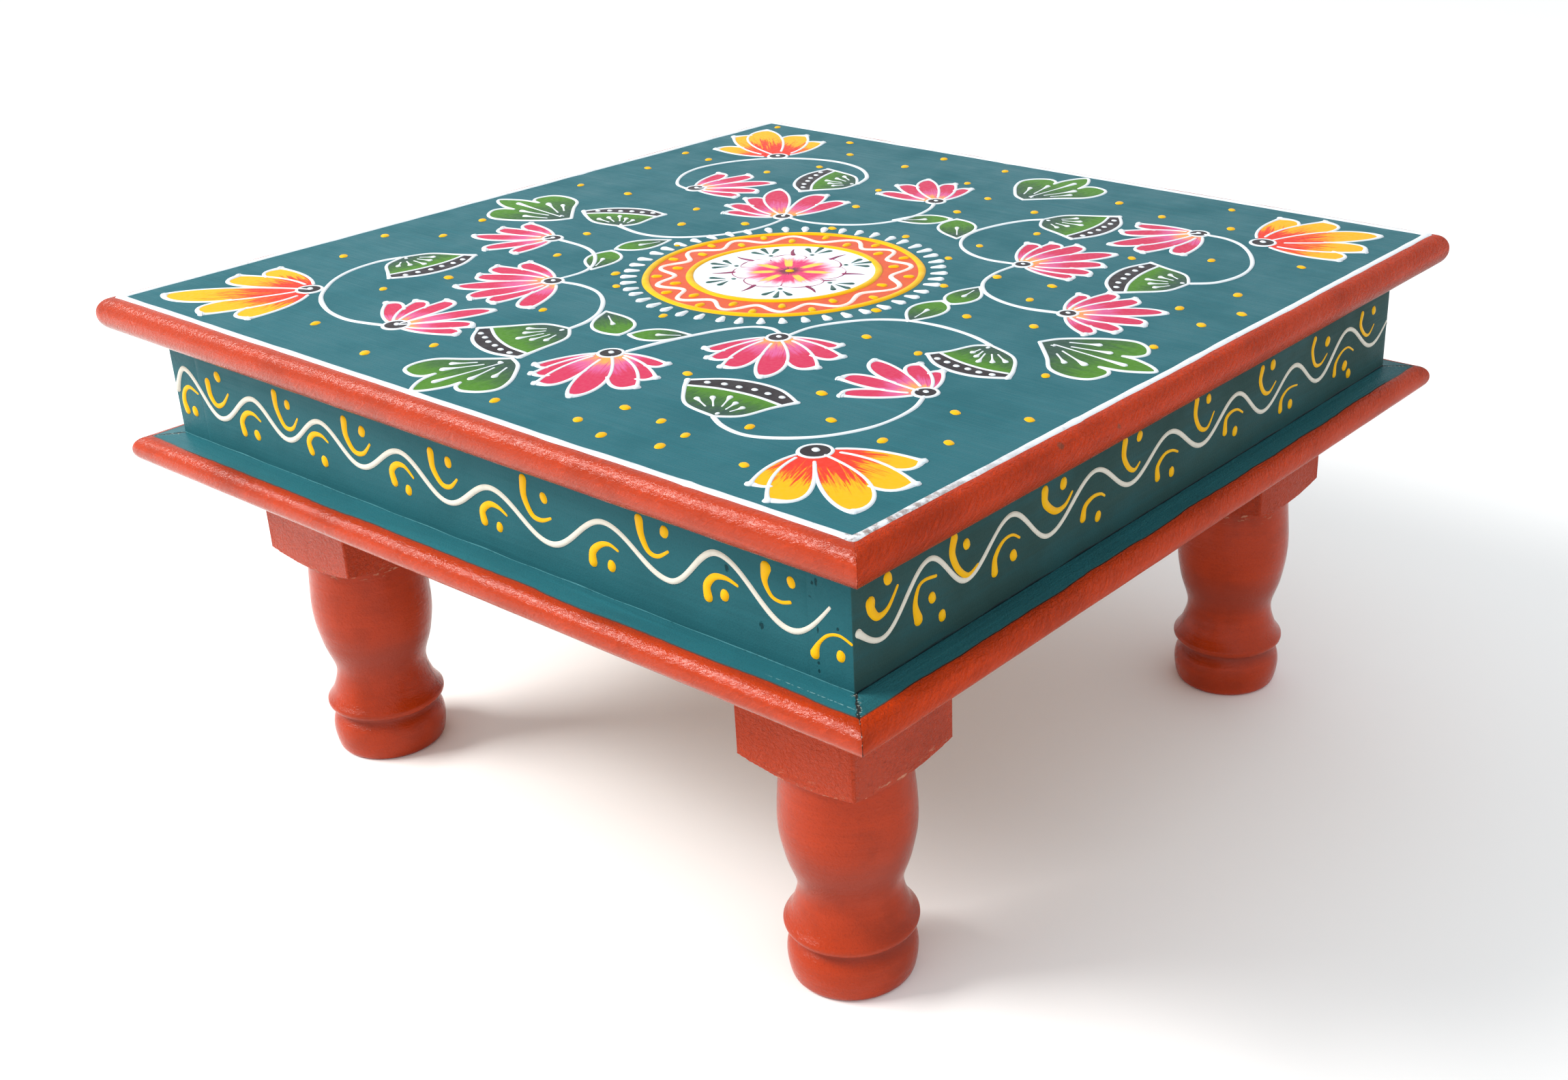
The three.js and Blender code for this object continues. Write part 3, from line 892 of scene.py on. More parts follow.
def record_shade_and_weather(bm, turns):
    """Keeps how much the paint is darkened, from 0 to 1: painted shade on the sides turned away from the
    light, with weathering. The end of a board belongs to the next side.
    """
    layer = bm.verts.layers.float.new("weather")
    for vert in bm.verts:
        at_end = abs(vert.co.x) > (BOX_OUTER - 0.1) * MM and -vert.co.y < (BOX_OUTER - 0.3) * MM
        nearest = turns + (1 if vert.co.x > 0 else -1) if at_end else turns
        vert[layer] = SIDE_SHADE_AND_WEATHER[nearest % 4]


def ripple(bm, height, along, across, moves):
    """Pushes the points of a board in and out a little, as hand planing does."""
    for vert in bm.verts:
        if moves(vert):
            spot = Vector((vert.co.x / along, vert.co.y / across, vert.co.z / across))
            vert.co += vert.normal * height * noise.noise(spot)


# Boards


# Two points closer than this are taken as one place
TOUCH = 0.01 * MM

# Millimetres. How far in the round edge of the rim starts, the play round the panel, the fall of the
# plinth's flat, and the open gaps at the mitres
RIM_NOSE = 4.5
PANEL_PLAY = 0.25
PLINTH_FALL = 1.0
RIM_GAP = 0.03
PLINTH_GAP = 0.06

# Moves each board's grain to another part of the pattern, so that no two are alike
GRAIN_SHIFT = Vector((0.31, 0.17, 0.9))


def run_along(edge, axis):
    """How far an edge runs along one axis."""
    return abs(edge.verts[0].co[axis] - edge.verts[1].co[axis])


def bar_along_x(section, half_length, cuts=150):
    """A bar whose section is given as (outward, height) in millimetres. Outward is towards -Y."""
    bm = bmesh.new()
    corners = [bm.verts.new((-half_length * MM, -outward * MM, height * MM)) for outward, height in section]
    start = bm.faces.new(corners)
    grown = bmesh.ops.extrude_face_region(bm, geom=[start])["geom"]
    moved = [item for item in grown if isinstance(item, bmesh.types.BMVert)]
    bmesh.ops.translate(bm, verts=moved, vec=(2 * half_length * MM, 0, 0))
    long_edges = [edge for edge in bm.edges if run_along(edge, 0) > half_length * MM]
    bmesh.ops.subdivide_edges(bm, edges=long_edges, cuts=cuts, use_grid_fill=True)
    return bm


def edges_along(bm, outward, height):
    """The edges of a bar that run along X at one corner of its section."""

    def at_corner(vert):
        return abs(vert.co.y + outward * MM) < TOUCH and abs(vert.co.z - height * MM) < TOUCH

    return [edge for edge in bm.edges if run_along(edge, 0) > TOUCH and all(map(at_corner, edge.verts))]


def round_edges(bm, edges, radius, segments):
    bmesh.ops.bevel(bm, geom=edges, offset=radius * MM, offset_type="OFFSET", segments=segments,
                    profile=0.5, affect="EDGES", material=-1)


def round_nose(bm, swollen, outer, reach, top, bottom):
    """Turns the outer side of a bar into half an ellipse. The bar is swollen, so that a half circle fits."""
    half = (top - bottom) / 2
    edges = edges_along(bm, swollen, top) + edges_along(bm, swollen, bottom)
    round_edges(bm, edges, half * 0.985, 9)
    start = (outer - reach) * MM
    for vert in bm.verts:
        if -vert.co.y > start:
            vert.co.y = -(start + (-vert.co.y - start) * reach / half)


def mitre_ends(bm, half_length, gap):
    """Slants both ends at 45 degrees by shortening every line along the bar to its distance outward."""
    for vert in bm.verts:
        vert.co.x *= (-vert.co.y - gap * MM / math.sqrt(2)) / (half_length * MM)


def end_edges(bm):
    """Edges round the two end faces of a bar."""
    return [
        edge for edge in bm.edges
        if len(edge.link_faces) == 2 and edge.calc_face_angle(0) > math.radians(38)
        and all(abs(abs(v.co.x) - abs(v.co.y)) < 1.2 * MM for v in edge.verts)
    ]


def bare_faces(mesh, is_bare):
    """Gives the faces for which the test holds the second material."""
    for face in mesh.polygons:
        if is_bare(face):
            face.material_index = 1


def rim_mesh(turns):
    swollen = RIM_OUTER - RIM_NOSE + (TOP - RIM_BOTTOM) / 2
    seat = PANEL_HALF + PANEL_PLAY
    bm = bar_along_x((
        (BOX_INNER, RIM_BOTTOM), (BOX_INNER, PANEL_BOTTOM), (seat, PANEL_BOTTOM), (seat, TOP),
        (swollen, TOP), (swollen, RIM_BOTTOM),
    ), RIM_OUTER)
    round_nose(bm, swollen, RIM_OUTER, RIM_NOSE, TOP, RIM_BOTTOM)
    mitre_ends(bm, RIM_OUTER, RIM_GAP)
    round_edges(bm, end_edges(bm), 0.05, 2)
    seat_top = (PANEL_BOTTOM + 0.1) * MM
    return board_mesh(bm, "rim", turns, RIM_OUTER - RIM_NOSE,
                      lambda face: face.center.z < seat_top and abs(face.center.y) < BOX_OUTER * MM)


def plinth_mesh(turns):
    edge_top = BOX_BOTTOM - PLINTH_FALL
    reach = (edge_top - PLINTH_BOTTOM) / 2
    nose_start = PLINTH_OUTER - reach
    bm = bar_along_x((
        (BOX_INNER, PLINTH_BOTTOM), (BOX_INNER, BOX_BOTTOM), (BOX_OUTER, BOX_BOTTOM),
        (PLINTH_OUTER, edge_top), (PLINTH_OUTER, PLINTH_BOTTOM),
    ), PLINTH_OUTER)
    round_nose(bm, PLINTH_OUTER, PLINTH_OUTER, reach, edge_top, PLINTH_BOTTOM)
    for vert in bm.verts:
        outward = -vert.co.y / MM
        if vert.co.z > (edge_top - 0.5) * MM and outward < nose_start:
            share = max(0, min(1, (outward - BOX_OUTER) / (nose_start - BOX_OUTER)))
            vert.co.z = (BOX_BOTTOM - PLINTH_FALL * share) * MM
    mitre_ends(bm, PLINTH_OUTER, PLINTH_GAP)
    round_edges(bm, end_edges(bm), 0.08, 2)
    return board_mesh(bm, "plinth", turns, nose_start,
                      lambda face: abs(face.center.y) < (BOX_OUTER + 4) * MM and face.normal.z < 0.5)


def apron_mesh(turns):
    """A board of the box. The right and the left one run through and show rounded corners."""
    runs_through = turns % 2
    half_length = BOX_OUTER if runs_through else BOX_INNER
    bm = bar_along_x((
        (BOX_INNER, BOX_BOTTOM), (BOX_INNER, RIM_BOTTOM), (BOX_OUTER, RIM_BOTTOM), (BOX_OUTER, BOX_BOTTOM),
    ), half_length, 120)

    def at_corner(vert):
        return abs(vert.co.y + BOX_OUTER * MM) < TOUCH and abs(abs(vert.co.x) - half_length * MM) < TOUCH

    corners = [edge for edge in bm.edges if all(map(at_corner, edge.verts))]
    round_edges(bm, corners, sizes().edge_rounding / MM if runs_through else 0.05, 3)
    uprights = [edge for edge in bm.edges if run_along(edge, 2) > 20 * MM]
    bmesh.ops.subdivide_edges(bm, edges=uprights, cuts=9, use_grid_fill=True)
    return board_mesh(bm, "apron", turns, BOX_OUTER - 0.1,
                      lambda face: -face.center.y < (BOX_OUTER - 1) * MM and abs(face.normal.x) < 0.5)


def board_mesh(bm, name, turns, shown_from, is_bare):
    """Ripples a board's shown side, keeps its grain, parts paint from bare wood and turns it to its side."""
    bm.normal_update()
    record_grain(bm, GRAIN_SHIFT * (turns + 1))
    record_shade_and_weather(bm, turns)
    ripple(bm, sizes().hand_ripple, 17 * MM, 7 * MM, lambda vert: -vert.co.y > shown_from * MM)
    bmesh.ops.recalc_face_normals(bm, faces=bm.faces)
    soften(bm, 32)
    mesh = finish_bmesh(bm, f"{name}_{SIDES[turns]}")
    bare_faces(mesh, is_bare)
    mesh.transform(Matrix.Rotation(turns * QUARTER, 4, "Z"))
    return mesh


def panel_mesh():
    """The top board: a plate whose upper side is divided finely enough to lie a little uneven."""
    bm = bmesh.new()
    bmesh.ops.create_grid(bm, x_segments=96, y_segments=96, size=PANEL_HALF * MM)
    grown = bmesh.ops.extrude_face_region(bm, geom=list(bm.faces))["geom"]
    top = [item for item in grown if isinstance(item, bmesh.types.BMVert)]
    bmesh.ops.translate(bm, verts=bm.verts, vec=(0, 0, PANEL_BOTTOM * MM))
    bmesh.ops.translate(bm, verts=top, vec=(0, 0, (TOP - PANEL_BOTTOM) * MM))
    bmesh.ops.recalc_face_normals(bm, faces=bm.faces)
    bm.normal_update()
    record_grain(bm, Vector((0, 0, 0)))
    inside = (PANEL_HALF - 1) * MM
    ripple(bm, 0.05 * MM, 34 * MM, 34 * MM,
           lambda vert: vert.co.z > (TOP - 1) * MM and max(abs(vert.co.x), abs(vert.co.y)) < inside)
    soften(bm, 32)
    mesh = finish_bmesh(bm, "panel")
    bare_faces(mesh, lambda face: face.normal.z < -0.5)
    return mesh


class CHOWKI_OT_boards(bpy.types.Operator):
    """Shape the top board, the rim, the box and the plinth"""

    bl_idname = "chowki.boards"
    bl_label = "Boards"

    def execute(self, context):
        link_piece("painted_top_board", panel_mesh(), ("teal", "timber"), "teal_paint", ("top_panel",))
        for turns, side in enumerate(SIDES):
            dull = "dull_" if side in ("right", "back") else ""
            for name, mesh, paint, slot, node in (
                ("rim_strip", rim_mesh(turns), f"{dull}orange", "orange_paint", "rim"),
                ("box_board", apron_mesh(turns), "teal", "teal_paint", "apron"),
                ("plinth_strip", plinth_mesh(turns), f"{dull}plinth", "orange_paint", "plinth"),
            ):
                link_piece(f"{name}_{side}", mesh, (paint, "timber"), slot, (f"{node}_{side}",))
        return {"FINISHED"}


# Legs


def through_points(points, steps):
    """Points on a smooth curve through the given points, in equal steps of its parameter."""
    last = len(points) - 1
    result = []
    for step in range(steps + 1):
        place = last * step / steps
        first = int(place)
        share = place - first
        around_here = [points[max(0, min(last, first + offset))] for offset in (-1, 0, 1, 2)]
        values = []
        for a, b, c, d in zip(*around_here):
            slope_in = (c - a) / 2
            slope_out = (d - b) / 2
            values.append((2 * b - 2 * c + slope_in + slope_out) * share ** 3
                          + (-3 * b + 3 * c - 2 * slope_in - slope_out) * share ** 2
                          + slope_in * share + b)
        result.append(tuple(values))
    return result


def leg_profile(longer):
    """Radius and height of the turned part, in millimetres, from the sole up to the block."""
    corner_z = PLINTH_BOTTOM - BLOCK_DROP - longer
    neck_z = NECK_Z - longer
    vase = neck_z - 30
    foot = through_points(((16.4, 0), (17.6, 1.6), (18.4, 6.6), (18, 10.4), (16.6, 12.8)), 24)
    body = through_points((
        (19, 18), (16.33, 22.3), (14.7, 30), (17.67, 30 + vase * 0.26), (19.2, 30 + vase * 0.56),
        (17.9, neck_z),
    ), 60)
    groove = ((15.9, 13.6), (15.75, 14.3), (16, 15.1))
    ring = ((18.55, 16.2), (18.9, 16.75), (19.05, 17.4))
    corner = BLOCK_HALF * 1.47
    shoulder = through_points(((BLOCK_HALF, neck_z + 1.33), (25, neck_z + 2.5), (corner, corner_z)), 12)
    block = [(corner, corner_z + step) for step in (0.6, 4, 12, 24, 32, 50, PANEL_BOTTOM - corner_z)]
    return [*foot, *groove, *ring, *body, *shoulder, *block]


def block_roughness(place):
    """How torn the wood is: the side of the block that was sawn across is the roughest."""
    if place.z < (NECK_Z + 1) * MM or place.z > PLINTH_BOTTOM * MM:
        return 0.0
    return 1.0 if place.y < -(BLOCK_HALF - 0.3) * MM else 0.28


def leg_mesh(turns):
    """A turned leg under a square block: the turned shape is wider than the block and pressed flat to it."""
    bm = bmesh.new()
    points = leg_profile(BLOCK_LONGER[turns])
    chain = [bm.verts.new((0, 0, points[0][1] * MM))]
    chain += [bm.verts.new((radius * MM, 0, height * MM)) for radius, height in points]
    chain.append(bm.verts.new((0, 0, points[-1][1] * MM)))
    edges = [bm.edges.new(pair) for pair in zip(chain, chain[1:])]
    bmesh.ops.spin(bm, geom=chain + edges, cent=(0, 0, 0), axis=(0, 0, 1), angle=2 * math.pi, steps=96,
                   use_merge=True, use_normal_flip=False, use_duplicate=False)
    bmesh.ops.remove_doubles(bm, verts=bm.verts, dist=0.001 * MM)
    half = BLOCK_HALF * MM
    for vert in bm.verts:
        vert.co.x = max(-half, min(half, vert.co.x))
        vert.co.y = max(-half, min(half, vert.co.y))
    bmesh.ops.recalc_face_normals(bm, faces=bm.faces)

    def at_corner(vert):
        return min(abs(vert.co.x), abs(vert.co.y)) > half - TOUCH

    corners = [edge for edge in bm.edges
               if run_along(edge, 2) > 10 * TOUCH and all(map(at_corner, edge.verts))]
    round_edges(bm, corners, 0.7, 3)
    bm.normal_update()
    grain = bm.verts.layers.float_vector.new("grain")
    torn = bm.verts.layers.float.new("torn")
    shift = Vector((0, 0.4, 0.7)) * (turns + 1)
    for vert in bm.verts:
        around_leg = math.atan2(vert.co.x + vert.co.y, vert.co.x - vert.co.y) * MEAN_LEG_RADIUS * MM
        vert[grain] = Vector((vert.co.z, vert.co.xy.length, around_leg)) + shift
        vert[torn] = block_roughness(vert.co)
    ripple(bm, 0.1 * MM, 9 * MM, 9 * MM, lambda vert: 1 * MM < vert.co.z < 105 * MM)
    soften(bm, 30)
    mesh = finish_bmesh(bm, f"leg_{CORNERS[turns]}")
    bare_faces(mesh, lambda face: face.center.z > (PLINTH_BOTTOM + 0.5) * MM or face.center.z < 0.01 * MM)
    mesh.transform(Matrix.Translation((LEG_AXIS * MM, -LEG_AXIS * MM, 0)))
    mesh.transform(Matrix.Rotation(turns * QUARTER, 4, "Z"))
    return mesh


class CHOWKI_OT_legs(bpy.types.Operator):
    """Turn the four legs"""

    bl_idname = "chowki.legs"
    bl_label = "Legs"

    def execute(self, context):
        for turns, corner in enumerate(CORNERS):
            link_piece(f"turned_leg_{corner}", leg_mesh(turns), ("leg", "timber"), "orange_paint",
                       (f"leg_{corner}",))
        return {"FINISHED"}


class CHOWKI_OT_nails(bpy.types.Operator):
    """Give the nails and pins of the frame their steel"""

    bl_idname = "chowki.nails"
    bl_label = "Nails"

    def execute(self, context):
        for name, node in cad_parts.items():
            if "nail" in name or "pin" in name:
                node.data.materials.clear()
                node.data.materials.append(material_named("steel"))
        return {"FINISHED"}


# Drawing on a flat sheet, in millimetres


ON_TOP = Matrix.Translation((0, 0, TOP * MM))


def sheet_on_side(turns):
    """X runs along the side, Y is the height above the floor, and Z points away from the box."""
    stand = Matrix(((1, 0, 0, 0), (0, 0, -1, -BOX_OUTER * MM), (0, 1, 0, 0), (0, 0, 0, 1)))
    return Matrix.Rotation(turns * QUARTER, 4, "Z") @ stand


def heading(degrees):
    angle = math.radians(degrees)
    return Vector((math.cos(angle), math.sin(angle)))


def distance(first, second):
    return math.hypot(second[0] - first[0], second[1] - first[1])


def smooth_line(points, spacing=1.0):
    """Points about one spacing apart on a smooth curve through points of x, y and half width."""
    span = sum(distance(a, b) for a, b in zip(points, points[1:]))
    return through_points(points, max(6, int(span / spacing)))


def with_round_ends(points):
    """Adds points past both ends of a stroke, along which its half width falls to nothing."""

    def cap(end, inner):
        away = Vector(end[:2]) - Vector(inner[:2])
        away = away.normalized() if away.length > 0 else Vector((1, 0))
        caps = []
        for reach, width in ((0.5, 0.87), (0.8, 0.6), (0.95, 0.31), (1.0, 0.06)):
            spot = Vector(end[:2]) + away * end[2] * reach
            caps.append((spot.x, spot.y, end[2] * width))
        return caps

    return [*reversed(cap(points[0], points[1])), *points, *cap(points[-1], points[-2])]


def same_width(points, half_width):
    return [(x, y, half_width) for x, y in points]


def beads(name, strokes, material_name, slot, flatness=0.5, sheet=ON_TOP):
    """A piece made of beads of paint. Each stroke is a list of x, y and half width."""
    curve = bpy.data.curves.new(name, "CURVE")
    curve.dimensions = "3D"
    curve.twist_mode = "Z_UP"
    curve.bevel_depth = MM
    curve.bevel_resolution = 2
    curve.use_fill_caps = True
    for stroke in strokes:
        rounded = with_round_ends(stroke)
        spline = curve.splines.new("POLY")
        spline.points.add(len(rounded) - 1)
        for point, (x, y, half_width) in zip(spline.points, rounded):
            point.co = (x * MM, y * MM, 0, 1)
            point.radius = half_width
    holder = bpy.data.objects.new(name, curve)
    bpy.context.scene.collection.objects.link(holder)
    bpy.context.view_layer.update()
    mesh = bpy.data.meshes.new_from_object(holder.evaluated_get(bpy.context.evaluated_depsgraph_get()))
    bpy.data.objects.remove(holder)
    bpy.data.curves.remove(curve)
    bm = bmesh.new()
    bm.from_mesh(mesh)
    bpy.data.meshes.remove(mesh)
    bmesh.ops.transform(bm, matrix=Matrix.Diagonal((1, 1, flatness, 1)), verts=bm.verts)
    bmesh.ops.remove_doubles(bm, verts=bm.verts, dist=0.002 * MM)
    for face in bm.faces:
        face.material_index = 0
    bmesh.ops.recalc_face_normals(bm, faces=bm.faces)
    soften(bm, 50)
    bmesh.ops.transform(bm, matrix=sheet, verts=bm.verts)
    return link_piece(name, finish_bmesh(bm, name), (material_name,), slot)


# How far a layer of paint reaches down into the wood, in millimetres
LAYER_ROOT = 0.15


class Layers:
    """Flat layers of paint on the top that end up as one piece."""

    def __init__(self, name, material_name, slot):
        self.name = name
        self.material_name = material_name
        self.slot = slot
        self.bm = bmesh.new()
        self.map = self.bm.loops.layers.uv.new("paint")

    def shape(self, outline, level, map_of):
        """Adds a closed shape whose top is the given number of layers above the surface."""
        made = bmesh.ops.create_circle(self.bm, cap_ends=True, segments=len(outline), radius=MM)
        for vert, (x, y) in zip(made["verts"], outline):
            vert.co = (x * MM, y * MM, -LAYER_ROOT * MM)
        face = made["verts"][0].link_faces[0]
        grown = bmesh.ops.extrude_face_region(self.bm, geom=[face])["geom"]
        lifted = [item for item in grown if isinstance(item, bmesh.types.BMVert)]
        height = LAYER_ROOT * MM + sizes().paint_layer * level
        bmesh.ops.translate(self.bm, verts=lifted, vec=(0, 0, height))
        for vert in (*made["verts"], *lifted):
            for loop in vert.link_loops:
                loop[self.map].uv = map_of(vert.co.x / MM, vert.co.y / MM)

    def disc(self, centre, radius, level, segments, wobble, seed):
        """A round shape with a slightly uneven edge."""
        outline = []
        for step in range(segments):
            turn = heading(360 * step / segments)
            swell = radius * (1 + wobble * noise.noise(Vector((turn.x * 2, turn.y * 2, seed))))
            outline.append((centre[0] + turn.x * swell, centre[1] + turn.y * swell))
        self.shape(outline, level, lambda x, y: ((x - centre[0]) / radius, (y - centre[1]) / radius))

    def place(self):
        bmesh.ops.transform(self.bm, matrix=ON_TOP, verts=self.bm.verts)
        return link_piece(self.name, finish_bmesh(self.bm, self.name), (self.material_name,), self.slot)


def is_inside(point, outline):
    """Whether a point lies inside a closed outline, by counting crossings."""
    inside = False
    x, y = point
    for (x1, y1), (x2, y2) in zip(outline, outline[1:] + outline[:1]):
        if (y1 > y) != (y2 > y) and x < x1 + (y - y1) * (x2 - x1) / (y2 - y1):
            inside = not inside
    return inside


# Lotus flowers


PETAL_STEPS = 18

# Side of a petal: how wide it is for its length, and how quickly it swells and falls. A side petal ends
# bluntly towards the front petal, so that its tip sticks out at its outer corner.
OUTER_SIDE = (0.115, 0.75, 0.95)
INNER_SIDE = (0.2, 1.2, 0.3)
FRONT_LEFT = (0.165, 1.0, 0.55)
FRONT_RIGHT = (0.085, 1.0, 0.6)
LEAF_SIDE = (0.27, 1.15, 0.83)


def hump(share, rise, fall):
    """A curve that starts and ends at nothing and is 1 at its highest."""
    peak = rise / (rise + fall)
    return (share ** rise * max(0, 1 - share) ** fall) / (peak ** rise * (1 - peak) ** fall)


class Petal:
    """One petal or leaf, from its root towards a heading."""

    def __init__(self, root, degrees, length, left, right, width=1.0):
        self.root = root
        self.axis = heading(degrees)
        self.side = Vector((-self.axis.y, self.axis.x))
        self.length = length
        self.left = self.edge(left, width)
        self.right = self.edge(right, -width)

    def edge(self, side, width):
        reach, rise, fall = side
        points = []
        for step in range(PETAL_STEPS + 1):
            share = math.sin(QUARTER * step / PETAL_STEPS)
            out = self.side * width * reach * self.length * hump(share, rise, fall)
            points.append(tuple(Vector(self.root) + self.axis * self.length * share + out))
        return points

    def outline(self):
        return self.left + self.right[-2:0:-1]

    def map_of(self, row):
        def place(x, y):
            offset = Vector((x, y)) - Vector(self.root)
            return offset.dot(self.axis) / self.length, offset.dot(self.side) / self.length + row

        return place


def line_widths(points, thin, thick):
    """Half widths of a petal's outline, which swells into a drop at the tip."""
    last = len(points) - 1
    return [(x, y, thin + (thick - thin) * (index / last) ** 7) for index, (x, y) in enumerate(points)]


def until_covered(points, cover):
    """The part of a line from its start up to where it goes under another petal."""
    seen = []
    for point in points:
        seen.append(point)
        if is_inside(point, cover) and len(seen) > 1:
            break
    return seen


def draw_lotus(fills, outlines, inks, eye, eye_radius, petals, width):
    """Petals are (heading, length), in order round the eye. The longest lies on top."""
    thin = sizes().outline_radius / MM
    front = max(range(len(petals)), key=lambda index: petals[index][1])
    made = []
    for index, (degrees, length) in enumerate(petals):
        left, right = FRONT_LEFT, FRONT_RIGHT
        if index != front:
            left, right = (OUTER_SIDE, INNER_SIDE) if degrees > petals[front][0] else (INNER_SIDE, OUTER_SIDE)
        made.append(Petal(eye, degrees, length - 0.7, left, right, width))
    order = sorted(range(len(petals)), key=lambda index: -abs(index - front))
    for level, index in enumerate(order):
        fills.shape(made[index].outline(), 3 + level * 0.8, made[index].map_of(index * 3 + round(eye[0])))
    for index, petal in enumerate(made):
        if index == front:
            outlines.append(line_widths(petal.left[1:], thin, thin * 2.3))
            outlines.append(line_widths(petal.right[2:], thin, thin * 2.3))
            continue
        is_left = petals[index][0] > petals[front][0]
        outer, inner = (petal.left, petal.right) if is_left else (petal.right, petal.left)
        outlines.append(line_widths(outer[2:], thin, thin * 2.6))
        neighbour = made[index + 1] if index < front else made[index - 1]
        seen = until_covered(list(reversed(inner)), neighbour.outline())
        outlines.append(line_widths(list(reversed(seen)), thin * 1.1, thin * 2))
    draw_eye(outlines, inks, eye, eye_radius)


def draw_eye(outlines, inks, eye, radius):
    """A dark disc in a white ring, with a white dot a little off its centre."""
    inks.disc(eye, radius * 0.95, 9.5, 28, 0.06, eye[0])
    ring = []
    for step in range(27):
        turn = heading(100 + 360 * step / 26)
        ring.append((eye[0] + turn.x * radius, eye[1] + turn.y * radius, 0.6))
    outlines.append(ring)
    spot = Vector(eye) + heading(120) * radius * 0.14
    half = radius * 0.27
    outlines.append([(spot.x - 0.2, spot.y + 0.1, half), (spot.x + 0.2, spot.y - 0.1, half)])


# Each pink lotus: its eye, the radius of the eye, and its petals as (heading, length)
PINK_LOTUSES = (
    ((42.7, -56.6), 3.3, ((16, 20), (-4, 26), (-26, 29), (-56, 33), (-82, 28), (-100, 25), (-119, 22))),
    ((14, -93.8), 3.5, ((9, 20), (-15, 26), (-30, 30), (-61, 34.5), (-87, 29), (-102, 25), (-118, 21.5))),
    ((103.6, -66.8), 3.3, ((112, 17), (132, 22.5), (157, 29.5), (192, 26), (222, 22.5))),
    ((-50.4, -58), 3.2, ((156, 24), (179, 27), (200, 26), (226, 30), (257, 28), (276, 26), (305, 27))),
    ((-87.2, -25.6), 3.2, ((158, 22), (183, 24), (209, 28), (252, 24), (282, 20))),
    ((-54.8, -113.6), 3.8, ((150, 23), (128, 23), (106, 25), (64, 29), (32, 23), (12, 22))),
    ((-42.8, 39.4), 3.0, ((76, 28), (101, 31), (134, 37), (160, 29), (182, 26), (204, 22))),
    ((-12, 85.8), 3.2, ((89, 21), (111, 25), (133, 31), (160, 27), (189, 24))),
    ((-94.6, 49.6), 3.5, ((113, 23), (86, 26), (50, 29), (20, 24), (-4, 21))),
    ((57.6, 41.2), 2.9, ((122, 24), (104, 26), (86, 28), (55, 32), (29, 26), (5, 24), (-14, 22))),
    ((96.8, 8.8), 2.9, ((114, 19), (92, 24), (70, 25), (36, 29), (8, 24.5), (-18, 22), (-42, 20))),
    ((84.6, 103.6), 3.3, ((183, 23), (208, 26), (238, 33), (264, 30), (290, 26))),
)

# Each corner lotus: its eye, the radius of the eye, and its petals
CORNER_LOTUSES = (
    ((106.8, -113.8), 4.2, ((23, 27.5), (-2, 32.5), (-35.5, 38), (-69.5, 31), (-88, 24.5))),
    ((-105, -107.8), 3.8, ((163, 28.5), (188, 31.5), (223, 44), (261.5, 34.5), (289.5, 30))),
    ((-103.6, 103.4), 3.6, ((91, 28), (113, 36), (138, 46), (159, 40), (191, 29))),
    ((107, 106.6), 4.0, ((108, 31), (82, 35), (46, 40.5), (16, 33.5), (-8, 30))),
)


class CHOWKI_OT_lotuses(bpy.types.Operator):
    """Paint the pink lotuses and the yellow lotuses of the corners"""

    bl_idname = "chowki.lotuses"
    bl_label = "Lotuses"

    def execute(self, context):
        for kind, flowers, material_name, slot, width in (
            ("pink", PINK_LOTUSES, "lotus", "pink_paint", 1.0),
            ("corner", CORNER_LOTUSES, "ember", "yellow_paint", 1.22),
        ):
            fills = Layers(f"{kind}_lotus_petals", material_name, slot)
            inks = Layers(f"{kind}_lotus_eyes", "ink", "black_paint")
            outlines = []
            for eye, eye_radius, petals in flowers:
                draw_lotus(fills, outlines, inks, eye, eye_radius, petals, width)
            fills.place()
            inks.place()
            beads(f"{kind}_lotus_outlines", outlines, "white", "white_paint")
        return {"FINISHED"}


# Leaves


def rounded(points):
    """Points about a millimetre apart on a smooth line through the given ones."""
    return [(x, y) for x, y, _ in smooth_line(same_width(points, 0.0))]


def drop(start, end, thin, thick):
    """A short stroke that ends in a round head."""
    middle = ((start[0] * 0.4 + end[0] * 0.6), (start[1] * 0.4 + end[1] * 0.6))
    return smooth_line([(*start, thin), (*middle, thin * 1.1), (*end, thick)], 0.6)


# Each banded leaf: where its stem meets it, then the two tips of its band
BANDED_LEAVES = (
    ((95.6, -27), (85.5, -43), (114.5, -45.5)),
    ((70.6, -111.6), (81.5, -92), (46.5, -96.5)),
    ((-11.5, -86), (-33, -101.5), (-4, -111)),
    ((-110, -69), (-94.5, -86), (-92.5, -54)),
    ((-50.5, 88), (-74, 99), (-60.5, 68.5)),
    ((-80, -2), (-78, 17.5), (-104.5, 4)),
    ((32.5, 88), (54, 74), (52, 106)),
    ((110.4, 54), (89.5, 66), (96.5, 33)),
)


